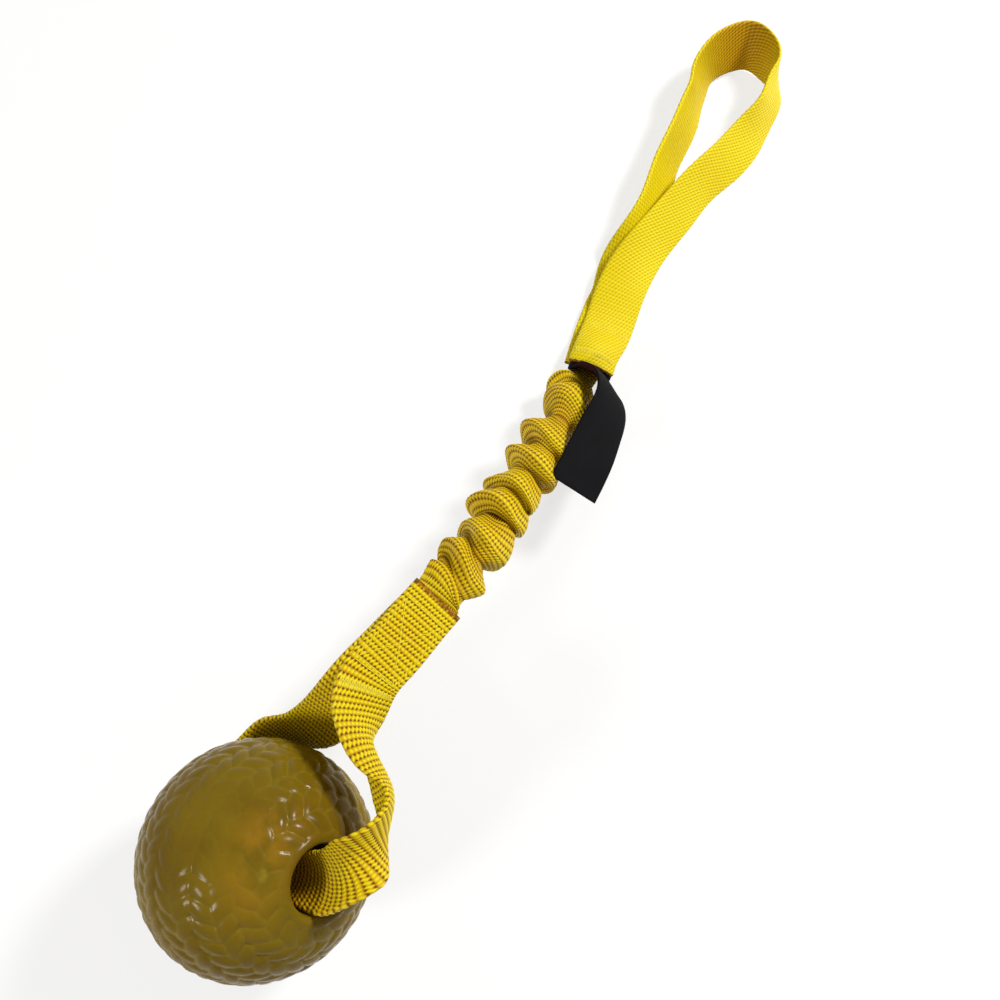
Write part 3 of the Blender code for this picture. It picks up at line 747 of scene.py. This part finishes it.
def scale_field(polar, azimuth, radius, pitch):
    """Height of the leaf scales from 0 to 1 and how near a crease is, on rings round the bore axis."""
    rings = np.round((polar - FIRST_RING) / RING_GAP)
    best = np.full(polar.shape, -1.0)
    second = np.full(polar.shape, -1.0)
    for step in (-1, 0, 1):
        ring = rings + step
        centre = FIRST_RING + ring * RING_GAP
        around = 2 * np.pi * radius * np.sin(np.clip(centre, 0.05, 3.09))
        count = np.maximum(6, np.round(around / pitch))
        turn = LEAF_SLANT * np.where(ring % 2 == 0, 1.0, -1.0)
        place = azimuth / (2 * np.pi) * count - RING_SHIFT * ring
        nearest = np.round(place)
        for near in (-1, 0, 1):
            leaf = nearest + near
            x = radius * np.sin(centre) * (place - leaf) / count * 2 * np.pi
            y = radius * (polar - centre)
            along = (x * np.cos(turn) + y * np.sin(turn)) / LEAF_HALF_LENGTH
            aside = (-x * np.sin(turn) + y * np.cos(turn)) / LEAF_HALF_WIDTH
            dome = 1 - along**2 - aside**2 + 0.18 * along
            second = np.maximum(second, np.minimum(best, dome))
            best = np.maximum(best, dome)
    crease = np.exp(-((best - second) / 0.34) ** 2) * np.clip((0.85 - best) / 0.3, 0, 1)
    return np.clip(best, -0.2, 1.0), crease


class TOY_OT_ball(bpy.types.Operator):
    """Spins the ball round its bore and raises rings of leaf-shaped scales on it"""

    bl_idname = "toy.ball"
    bl_label = "Scaled Ball"

    def execute(self, context):
        s = sizes()
        radius, bore, rim = s.ball_diameter / 2 - 0.0002, s.bore_diameter / 2, s.bore_rim
        rim_steps, bore_steps = 8, 24
        height = np.sqrt((radius - rim) ** 2 - (bore + rim) ** 2)
        start = np.arctan2(bore + rim, height)
        bend = np.pi / 2 + start
        profile = [(radius * np.sin(a), radius * np.cos(a)) for a in np.linspace(start, np.pi - start, 186)]
        for k in range(1, rim_steps + 1):
            turn = np.pi - start + bend * k / rim_steps
            profile.append((bore + rim + rim * np.sin(turn), -height + rim * np.cos(turn)))
        profile += [(bore, -height + 2 * height * k / bore_steps) for k in range(1, bore_steps)]
        for k in range(rim_steps):
            turn = -np.pi / 2 + bend * k / rim_steps
            profile.append((bore + rim + rim * np.sin(turn), height + rim * np.cos(turn)))
        axis = direction(BORE_AZIMUTH, BORE_ELEVATION)
        first = unit(np.cross(axis, (0, 0, 1)))
        centre = np.array(BALL_CENTRE)
        points = [tuple(centre + first * out + axis * along) for out, along in profile]
        count = len(points)
        mesh = bpy.data.meshes.new("scaled_ball")
        mesh.from_pydata(points, [(i, (i + 1) % count) for i in range(count)], [])
        obj = add_object("scaled_ball", mesh)
        make_active(obj)
        bpy.ops.object.mode_set(mode="EDIT")
        bpy.ops.mesh.select_all(action="SELECT")
        bpy.ops.mesh.spin(steps=400, angle=2 * np.pi, center=tuple(centre), axis=tuple(axis))
        bpy.ops.mesh.select_all(action="SELECT")
        bpy.ops.mesh.remove_doubles(threshold=0.00002)
        bpy.ops.mesh.normals_make_consistent(inside=False)
        bpy.ops.object.mode_set(mode="OBJECT")
        co = np.zeros(len(mesh.vertices) * 3, np.float32)
        mesh.vertices.foreach_get("co", co)
        spoke = co.reshape(-1, 3).astype(float) - centre
        far = np.linalg.norm(spoke, axis=1)
        second = np.cross(axis, first)
        polar = np.arccos(np.clip(spoke @ axis / far, -1, 1))
        azimuth = np.arctan2(spoke @ second, spoke @ first)
        dome, crease = scale_field(polar, azimuth, radius, s.scale_length)
        skin = np.clip((far - (radius - 0.0015)) / 0.0013, 0, 1)
        edge = np.clip(np.minimum(polar - start, np.pi - start - polar) / np.radians(5.0), 0, 1) * skin
        wear_and_painted_shade = np.clip((spoke @ unit(np.array(WORN_SIDE)) / far - 0.72) / 0.22, 0, 1)
        ripple = 0.86 + 0.14 * np.sin(7 * azimuth + 5 * polar) * np.sin(9 * polar - 3 * azimuth)
        sink = (1 - np.clip(dome, 0, 1) ** 0.6) * s.scale_height * edge * (1 - 0.42 * wear_and_painted_shade) * ripple
        moved = centre + spoke * (1 - sink / far)[:, None]
        mesh.vertices.foreach_set("co", moved.astype(np.float32).ravel())
        near = np.exp(-(((polar - np.radians(35)) / np.radians(13)) ** 2))
        side = np.exp(-(((azimuth - np.radians(-105)) / np.radians(48)) ** 2))
        # Marks for painted light: pale creases, and the warm glow of the strap through the rubber.
        set_marks(mesh, {"crease": crease * edge * (1 - 0.7 * wear_and_painted_shade), "glow": near * side})
        mesh.materials.append(rubber_material())
        make_active(obj)
        bpy.ops.object.shade_smooth()
        deselect()
        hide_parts("ball")
        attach(obj, "ball")
        return {"FINISHED"}


def loop_line():
    return Strap(BALL_CENTRE, LOOP_REACH, loop_stations, sizes().webbing_width)


def handle_line():
    return Strap(SEAM, HANDLE_REACH, handle_stations, sizes().webbing_width)


class TOY_OT_ball_loop(bpy.types.Operator):
    """Lays the woven strap through the ball and back to its sewn section"""

    bl_idname = "toy.ball_loop"
    bl_label = "Ball Loop"

    def execute(self, context):
        s = sizes()
        material = webbing_material("Loop Webbing", 0.92)
        pitch = (s.rib_pitch, s.bead_pitch)
        # Painted shade on both faces where the strap runs into the ball's near mouth.
        obj = strap_shell(
            "ball_loop_strap", loop_line(), s.webbing_thickness, 5, s.weave_depth, pitch, material, 0.0024,
            shade_patch=(0.405, 0.055, 1.0),
        )
        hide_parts("ball_loop_webbing")
        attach(obj, "ball_loop")
        return {"FINISHED"}


class TOY_OT_handle(bpy.types.Operator):
    """Lays the woven strap of the hand loop"""

    bl_idname = "toy.handle"
    bl_label = "Hand Loop"

    def execute(self, context):
        s = sizes()
        material = webbing_material("Handle Webbing", 0.92, 0.42, HANDLE_RIBBING)
        pitch = (s.rib_pitch * 0.76, s.bead_pitch * 1.05)
        depth = s.weave_depth * 0.5
        # Painted shade on the inner face of the loop's far bend.
        obj = strap_shell(
            "hand_loop_strap", handle_line(), s.webbing_thickness, 3, depth, pitch, material, 0.0008,
            rests=True, ribbing=HANDLE_RIBBING, shade_patch=(0.476, 0.064, 0.0),
        )
        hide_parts("handle_webbing")
        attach(obj, "handle")
        return {"FINISHED"}


def ruffle_rows(spacing):
    """Rows along the sleeve at one spacing of cloth: place, lead, neck, crest, rise between them, phase."""
    table = np.array(ruffle_stations) * SLEEVE_REACH
    table[:, :3] += np.array(SEAM)
    last = len(table) - 1
    dense = []
    for i in range(last):
        for share in np.linspace(0, 1, 40, endpoint=False):
            row = table[i] * (1 - share) + table[i + 1] * share
            rise = share if i % 2 else 1 - share
            if i in (0, last - 1):
                neck, crest, rise = row, row, 0.0
            elif i % 2:
                neck, crest = table[i], table[i + 1]
            else:
                neck, crest = table[i + 1], table[i]
            dense.append([*row[:4], *neck[4:], *crest[4:], rise, i + share])
    end = table[-1]
    dense.append([*end[:4], *end[4:], *end[4:], 0.0, last])
    dense = np.array(dense)
    swell = np.sin(np.pi / 2 * dense[:, 8]) ** 0.8
    wide = dense[:, 4] + (dense[:, 6] - dense[:, 4]) * swell
    steps = np.hypot(np.linalg.norm(np.diff(dense[:, :3], axis=0), axis=1), np.diff(wide))
    run = np.concatenate([[0], np.cumsum(steps)])
    at = np.arange(0, run[-1], spacing)
    return at, np.stack([np.interp(at, run, column) for column in dense.T], axis=1)


def sleeve_part(name, core, first, last, material, s):
    """The woven tube between two ruffle stations: narrow knobs on its left, full folds on its right."""
    steps_per_rib = 4
    spots, along, across, outward, _ = core.frames(np.linspace(0, 1, FINE_STEPS))
    at, row = ruffle_rows(s.rib_pitch * 0.86 / steps_per_rib)
    low, high = np.searchsorted(row[:, 9], [first, last])
    low, high = max(0, low - (first > 0)), min(len(at), high + 1)
    at, row, count = at[low:high], row[low:high], np.arange(low, high)
    rings, sides = len(at), SLEEVE_SIDES
    angle = np.arange(sides) * 2 * np.pi / sides
    near = np.argmin(np.abs(spots[None, :, 0] - row[:, :1]), axis=1)
    side, way, up = across[near], along[near], -outward[near]
    ribs, beads = grid(count / steps_per_rib, angle / (2 * np.pi) * SLEEVE_BEADS)
    phase, rise = row[:, 9:10], row[:, 8:9]
    # Full movement along the ruffles, none at the flat ends; then how far a point is on the left side.
    calm = np.clip(np.minimum(phase - 1.2, len(ruffle_stations) - 2.9 - phase) / 0.8, 0, 1)
    left = 0.5 - 0.5 * np.cos(angle + 0.35)[None, :]
    # The crest grows out of its neck at once on the right, and as a narrow knob on the left.
    power = 0.70 + 3.8 * left**1.6
    dome = 0.72 * np.sin(np.pi / 2 * rise) + 0.28 * rise
    swell = dome ** (1 - calm + calm * power)
    pinch = 1 - calm * (0.15 + 0.13 * left) * (1 - rise) ** 2
    ruffle, turn = np.round(phase / 2), angle[None, :]
    # No ruffle is round or like the next one: slow waves and one pleat each.
    wander = 0.05 * np.sin(2 * turn + phase * 1.9) + 0.045 * np.sin(3 * turn - phase * 2.7)
    wander = wander + 0.022 * np.sin(5 * turn + phase * 3.1)
    pleat = np.exp(-(((turn - 2.3 - 0.25 * np.sin(ruffle * 2.2)) / 0.55) ** 2))
    fold = calm * pleat * np.sin(np.pi * np.clip(rise, 0, 1)) * np.cos(np.pi * phase) * 0.0011
    relief = s.weave_depth * 0.85 * (weave_height(ribs, beads) - 0.7)
    size = (1 + wander * calm) * pinch
    half_wide = (row[:, 4:5] + (row[:, 6:7] - row[:, 4:5]) * swell) * size + relief + fold
    half_high = (row[:, 5:6] + (row[:, 7:8] - row[:, 5:6]) * swell) * size + relief + fold
    # The left side leads the right, and the ruffles droop towards the ball.
    lean = (row[:, 3:4] / 2) * np.cos(turn)
    lean = lean + 0.0014 * calm * np.sin(2 * turn + 0.9 * np.sin(ruffle * 1.7))
    droop = np.clip((phase - 4.4) / 1.6, 0, 1) * calm * (1 - 0.85 * left)
    lean = lean + droop * (0.0052 * swell - 0.0030)
    # The outer skin, then back inside the wall with fewer rings.
    outside = np.arange(rings)
    inside = np.arange(rings - 1, -1, -8)
    if inside[-1] != 0:
        inside = np.append(inside, 0)
    inner_high = np.maximum(half_high[inside] - SLEEVE_WALL, 0.0007)
    skins = []
    for rows, wide, high in (
        (outside, half_wide, half_high), (inside, half_wide[inside] - SLEEVE_WALL, inner_high)
    ):
        skins.append(
            row[rows][:, None, :3]
            + side[rows][:, None, :] * (wide * np.cos(turn))[..., None]
            + up[rows][:, None, :] * (high * np.sin(turn))[..., None]
            - way[rows][:, None, :] * lean[rows][..., None]
        )
    everything = np.concatenate(skins)
    total = len(everything)
    quads = ring_quads(total, sides, wrap=True)
    rows = np.concatenate([outside, inside])
    # The last quad of each ring ends at the full bead count, so that the weave closes there.
    uvs = corner_uvs(ribs[rows], beads[rows], quads).reshape(-1, 4, 2)
    uvs[quads[:, 0] % sides == sides - 1, 1:3, 1] = SLEEVE_BEADS
    # Painted shade in the necks between ruffles, and a darker orange on the crests of the left knobs.
    painted_shade = 0.60 * calm * ((1 - rise) ** 2 + left**3 * rise**2)
    marks = {"melt": np.zeros(total * sides), "wear_and_painted_shade": painted_shade[rows].ravel()}
    points, uvs = everything.reshape(-1, 3), uvs.reshape(-1, 2)
    return shell(name, points, quads, [], uvs, marks, material), at[-1] - at[0]


def elastic_part(name, core, low, high, material):
    """A flat band of the elastic between two shares of the middle line."""
    shares = np.linspace(low, high, 90)
    middle, _, across, outward, table = core.frames(shares)
    sides = np.array([-0.96, -0.5, 0, 0.5, 0.96, 1, 0.96, 0.5, 0, -0.5, -0.96, -1])
    lifts = np.array([1, 1, 1, 1, 1, 0, -1, -1, -1, -1, -1, 0])
    half = table[:, 2:3] * SLEEVE_REACH
    points = (
        middle[:, None, :]
        + across[:, None, :] * (half * sides[None, :])[..., None]
        + outward[:, None, :] * (np.ones_like(half) * lifts[None, :] * ELASTIC_THICKNESS / 2)[..., None]
    )
    count = len(sides)
    quads = ring_quads(len(shares), count)
    ribs, beads = grid(shares * core.length / ELASTIC_RIB, sides * 6)
    caps, uvs = end_caps(len(shares), count, 5), corner_uvs(ribs, beads, quads)
    return shell(name, points.reshape(-1, 3), quads, caps, uvs, {}, material)


class TOY_OT_sleeve(bpy.types.Operator):
    """Gathers the woven tube in ruffles over the flat elastic"""

    bl_idname = "toy.sleeve"
    bl_label = "Bungee Sleeve"

    def execute(self, context):
        s = sizes()
        core = Strap(SEAM, SLEEVE_REACH, core_stations, s.webbing_width)
        # The sleeve's yarn gets a darker share (0.88) than the straps' (0.92): painted shade of its folds.
        material = webbing_material("Sleeve Webbing", 0.88)
        band = elastic_material()
        last = len(ruffle_stations) - 1
        upper, upper_run = sleeve_part("gathered_sleeve_upper", core, 0, SPLIT_NECK, material, s)
        lower, lower_run = sleeve_part("gathered_sleeve_lower", core, SPLIT_NECK, last, material, s)
        elastic_upper = elastic_part("elastic_band_upper", core, 0.01, ELASTIC_SPLIT, band)
        elastic_lower = elastic_part("elastic_band_lower", core, ELASTIC_SPLIT, 0.99, band)
        for obj in (upper, elastic_upper):
            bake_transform(obj)
        for obj in (lower, elastic_lower):
            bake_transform(obj)
        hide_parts("bungee_sleeve")
        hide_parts("bungee_sleeve")
        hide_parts("elastic_core")
        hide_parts("elastic_core")
        return {"FINISHED"}


class TOY_OT_label(bpy.types.Operator):
    """Folds the bare black ribbon that is caught in the handle's seam"""

    bl_idname = "toy.label"
    bl_label = "Ribbon Label"

    def execute(self, context):
        s = sizes()
        strap = Strap(SEAM, LABEL_REACH, label_stations, s.label_width)
        shares = np.linspace(0, 1, LABEL_RINGS)
        top = np.linspace(-1, 1, LABEL_ACROSS)
        half = s.label_thickness / 2
        slit = half * 0.16
        notch, flat = np.array([0.985, 0.955, 0.985]), np.full(LABEL_ACROSS, half)
        sides = np.concatenate([top, notch, top[::-1], -notch])
        lifts = np.concatenate([flat, [slit, 0.0, -slit], -flat, [-slit, 0.0, slit]])
        count = len(sides)
        taper = np.clip((1 - shares) / 0.006, 0, 1) ** 0.5
        taper[-1] = 0.35
        heights = (taper[:, None] * lifts[None, :]).ravel()
        points = strap.points(np.repeat(shares, count), np.tile(sides, LABEL_RINGS), heights)
        quads = ring_quads(LABEL_RINGS, count)
        ribs, beads = grid(shares * strap.length / LABEL_WEAVE[0], sides * s.label_width / 2 / LABEL_WEAVE[1])
        last = (LABEL_RINGS - 1) * count
        caps = [tuple(base + j for j in range(count)) for base in (0, last)]
        marks = {"back": np.tile(lifts < -slit * 1.5, LABEL_RINGS).astype(float)}
        uvs = corner_uvs(ribs, beads, quads)
        obj = shell("ribbon_label", points, quads, caps, uvs, marks, label_material())
        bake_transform(obj)
        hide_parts("label_ribbon")
        return {"FINISHED"}


def stitch_track(strap, from_start, corners, height, stitch):
    """Points of one thread that dives into the strap at every stitch hole."""
    corners = np.array(corners, dtype=float)
    track, steps = [], 6
    for here, there in zip(corners, corners[1:]):
        wide = (there[1] - here[1]) * strap.width / 2
        reach = np.hypot(there[0] - here[0], wide)
        holes = max(1, int(round(reach / stitch)))
        for k in range(holes * steps):
            track.append([*(here + (there - here) * k / (holes * steps)), (k % steps) / steps])
    track.append([*corners[-1], 0.0])
    track = np.array(track)
    far = track[:, 0] / strap.length
    shares = far if from_start else 1 - far
    lifts = height - STITCH_DIP * np.cos(np.pi * track[:, 2]) ** 8
    return strap.points(shares, track[:, 1], lifts)


def thread_piece(name, track, diameter, material, node, body):
    """One sewn thread as a tube along its track."""
    curve = bpy.data.curves.new(name, "CURVE")
    curve.dimensions = "3D"
    curve.bevel_depth = diameter / 2
    curve.bevel_resolution = 1
    curve.use_fill_caps = True
    spline = curve.splines.new("POLY")
    spline.points.add(len(track) - 1)
    for point, place in zip(spline.points, track):
        point.co = (*place, 1.0)
    obj = add_object(name, curve)
    make_active(obj)
    bpy.ops.object.convert(target="MESH")
    obj.data.materials.clear()
    obj.data.materials.append(material)
    bpy.ops.object.shade_smooth()
    deselect()
    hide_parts(node)
    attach(obj, body)
    return obj


def box_and_cross(start, end, reach):
    """Corners of a sewn box and its cross: how far along the strap, and share of half its width."""
    step = 0.0010
    inner = reach - 0.06
    return [
        (start, -reach), (start, reach), (end, reach), (end, -reach), (start + step, -reach),
        (end - step, inner), (end - step, -inner), (start + step, inner),
    ]


def bar_tack(start, end, strokes, reach):
    """Corners of a zigzag over the strap's width."""
    return [(start if i % 2 else end, side) for i, side in enumerate(np.linspace(-reach, reach, strokes))]


class TOY_OT_stitches(bpy.types.Operator):
    """Sews the box and cross, the bar tack and the handle's two seams"""

    bl_idname = "toy.stitches"
    bl_label = "Stitches"

    def execute(self, context):
        s = sizes()
        loop, handle = loop_line(), handle_line()
        # The hollow colours darken both threads below the yarn: painted shade of the stitch rows sunk into
        # the webbing.
        loop_thread = thread_material("Loop Thread", (0.55, 0.40, 0.008), 1.0)
        handle_thread = thread_material("Handle Thread", (0.66, 0.50, 0.006), 0.94)
        # Each seam starts and ends so far along its strap, and reaches so far to the sides.
        box = box_and_cross(0.0070, 0.0330, 0.78)
        tack = bar_tack(0.0372, 0.0408, 47, 0.88)
        sleeve_tack = bar_tack(0.0032, 0.0066, 31, 0.80)
        handle_tack = bar_tack(0.0182, 0.0212, 31, 0.85)
        seams = (
            ("loop_box", loop, True, box, "ball_loop", 0.0026, 0.00022, loop_thread),
            ("loop_tack", loop, True, tack, "ball_loop", 0.0040, 0.00012, loop_thread),
            ("sleeve_tack", handle, False, sleeve_tack, "handle", 0.0040, 0.00006, handle_thread),
            ("handle_tack", handle, False, handle_tack, "handle", 0.0040, 0.00006, handle_thread),
        )
        for name, strap, needle_start, corners, body, stitch, proud, material in seams:
            for side, from_start in (("needle", needle_start), ("bobbin", not needle_start)):
                track = stitch_track(strap, from_start, corners, s.webbing_thickness / 2 + proud, stitch)
                piece, node = f"{name}_{side}_stitches", f"{name}_{side}_thread"
                thread_piece(piece, track, s.thread_diameter, material, node, body)
        return {"FINISHED"}


def area_lamp(name, place, size, energy):
    light = bpy.data.lights.new(name, "AREA")
    light.shape = "SQUARE"
    light.size = size
    light.energy = energy
    light.color = LAMP_COLOUR
    turn = (Vector(LAMP_TARGET) - Vector(place)).to_track_quat("-Z", "Y").to_matrix()
    add_object(name, light).matrix_world = Matrix.Translation(Vector(place)) @ turn.to_4x4()


def mix_shaders(tree, factor, first, second, output):
    node = tree.nodes.new("ShaderNodeMixShader")
    tree.links.new(factor, node.inputs[0])
    tree.links.new(first.outputs[0], node.inputs[1])
    tree.links.new(second.outputs[0], node.inputs[2])
    tree.links.new(node.outputs[0], tree.nodes[output].inputs["Surface"])


class TOY_OT_stage(bpy.types.Operator):
    """Adds the pale see-through floor, the soft lamps, the world and the camera"""

    bl_idname = "toy.stage"
    bl_label = "Stage"

    def execute(self, context):
        deselect()
        bpy.ops.mesh.primitive_plane_add(size=6.0, location=(-0.07, 0, 0))
        floor = context.active_object
        floor.name = "stage_floor"
        bpy.ops.object.transform_apply(location=True, rotation=True, scale=True)
        material, tree, shader = new_material("Stage White")
        feed(tree, shader, Base_Color=(0.93, 0.93, 0.93, 1.0), Roughness=0.9, Specular_IOR_Level=0.1)
        spot = tree.nodes.new("ShaderNodeVectorMath")
        spot.operation = "LENGTH"
        tree.links.new(object_coordinates(tree), spot.inputs[0])
        share = ramp(tree, spot.outputs["Value"], *FLOOR_CLEARS, FLOOR_SEE_THROUGH, 1.0)
        path = tree.nodes.new("ShaderNodeLightPath")
        seen = math_node(tree, "MULTIPLY", path.outputs["Is Camera Ray"], share)
        below = tree.nodes.new("ShaderNodeNewGeometry").outputs["Backfacing"]
        clear = tree.nodes.new("ShaderNodeBsdfTransparent")
        mix_shaders(tree, math_node(tree, "MAXIMUM", seen, below), shader, clear, "Material Output")
        floor.data.materials.append(material)
        world = bpy.data.worlds.new("Studio")
        context.scene.world = world
        world.use_nodes = True
        sky = world.node_tree
        background = feed(sky, sky.nodes["Background"], Color=(1.0, 0.96, 0.88, 1.0), Strength=0.24)
        path = sky.nodes.new("ShaderNodeLightPath")
        shown = math_node(sky, "MAXIMUM", path.outputs["Is Camera Ray"], path.outputs["Is Glossy Ray"])
        shown = math_node(sky, "MAXIMUM", shown, path.outputs["Is Transmission Ray"])
        white = feed(sky, sky.nodes.new("ShaderNodeBackground"), Color=(1.0, 1.0, 1.0, 1.0))
        mix_shaders(sky, shown, background, white, "World Output")
        area_lamp("key_lamp", (0.62, -0.36, 0.74), size=0.19, energy=12.6)
        area_lamp("fill_lamp", (-0.86, 0.36, 0.62), size=0.20, energy=4.9)
        camera = bpy.data.cameras.new("camera")
        camera.lens = 36.0
        camera.sensor_width = 36.0
        camera.sensor_fit = "HORIZONTAL"
        camera.clip_start = 0.01
        obj = add_object("camera", camera)
        turn = Matrix(CAMERA_AXES).transposed()
        obj.matrix_world = Matrix.Translation(Vector(CAMERA_PLACE)) @ turn.to_4x4()
        context.scene.camera = obj
        context.scene.view_settings.view_transform = "Standard"
        return {"FINISHED"}


class TOY_OT_finishes(bpy.types.Operator):
    """Makes the shader node groups that the materials share"""

    bl_idname = "toy.finishes"
    bl_label = "Shared Finishes"

    def execute(self, context):
        weave_group()
        mottle_group()
        return {"FINISHED"}


class TOY_PT_panel(bpy.types.Panel):
    """Lists the toy's pieces in build order"""

    bl_idname = "TOY_PT_panel"
    bl_label = "Tug Toy"
    bl_space_type = "VIEW_3D"
    bl_region_type = "UI"
    bl_category = "Tug Toy"

    def draw(self, context):
        for group in (context.scene.toy_sizes, context.scene.toy_colours):
            for name in group.__annotations__:
                self.layout.prop(group, name)
        for operator in OPERATORS:
            self.layout.operator(operator.bl_idname)


OPERATORS = (
    TOY_OT_finishes,
    TOY_OT_ball,
    TOY_OT_ball_loop,
    TOY_OT_handle,
    TOY_OT_sleeve,
    TOY_OT_label,
    TOY_OT_stitches,
    TOY_OT_stage,
)
CLASSES = (ToySizes, ToyColours, *OPERATORS, TOY_PT_panel)


def register():
    for cls in CLASSES:
        bpy.utils.register_class(cls)
    bpy.types.Scene.toy_sizes = bpy.props.PointerProperty(type=ToySizes)
    bpy.types.Scene.toy_colours = bpy.props.PointerProperty(type=ToyColours)


def unregister():
    del bpy.types.Scene.toy_colours
    del bpy.types.Scene.toy_sizes
    for cls in reversed(CLASSES):
        bpy.utils.unregister_class(cls)


def main():
    """Registers the classes, and builds every piece and the stage."""
    register()
    bpy.ops.toy.finishes()
    bpy.ops.toy.ball()
    bpy.ops.toy.ball_loop()
    bpy.ops.toy.handle()
    bpy.ops.toy.sleeve()
    bpy.ops.toy.label()
    bpy.ops.toy.stitches()
    bpy.ops.toy.stage()


if __name__ == "__main__":
    main()
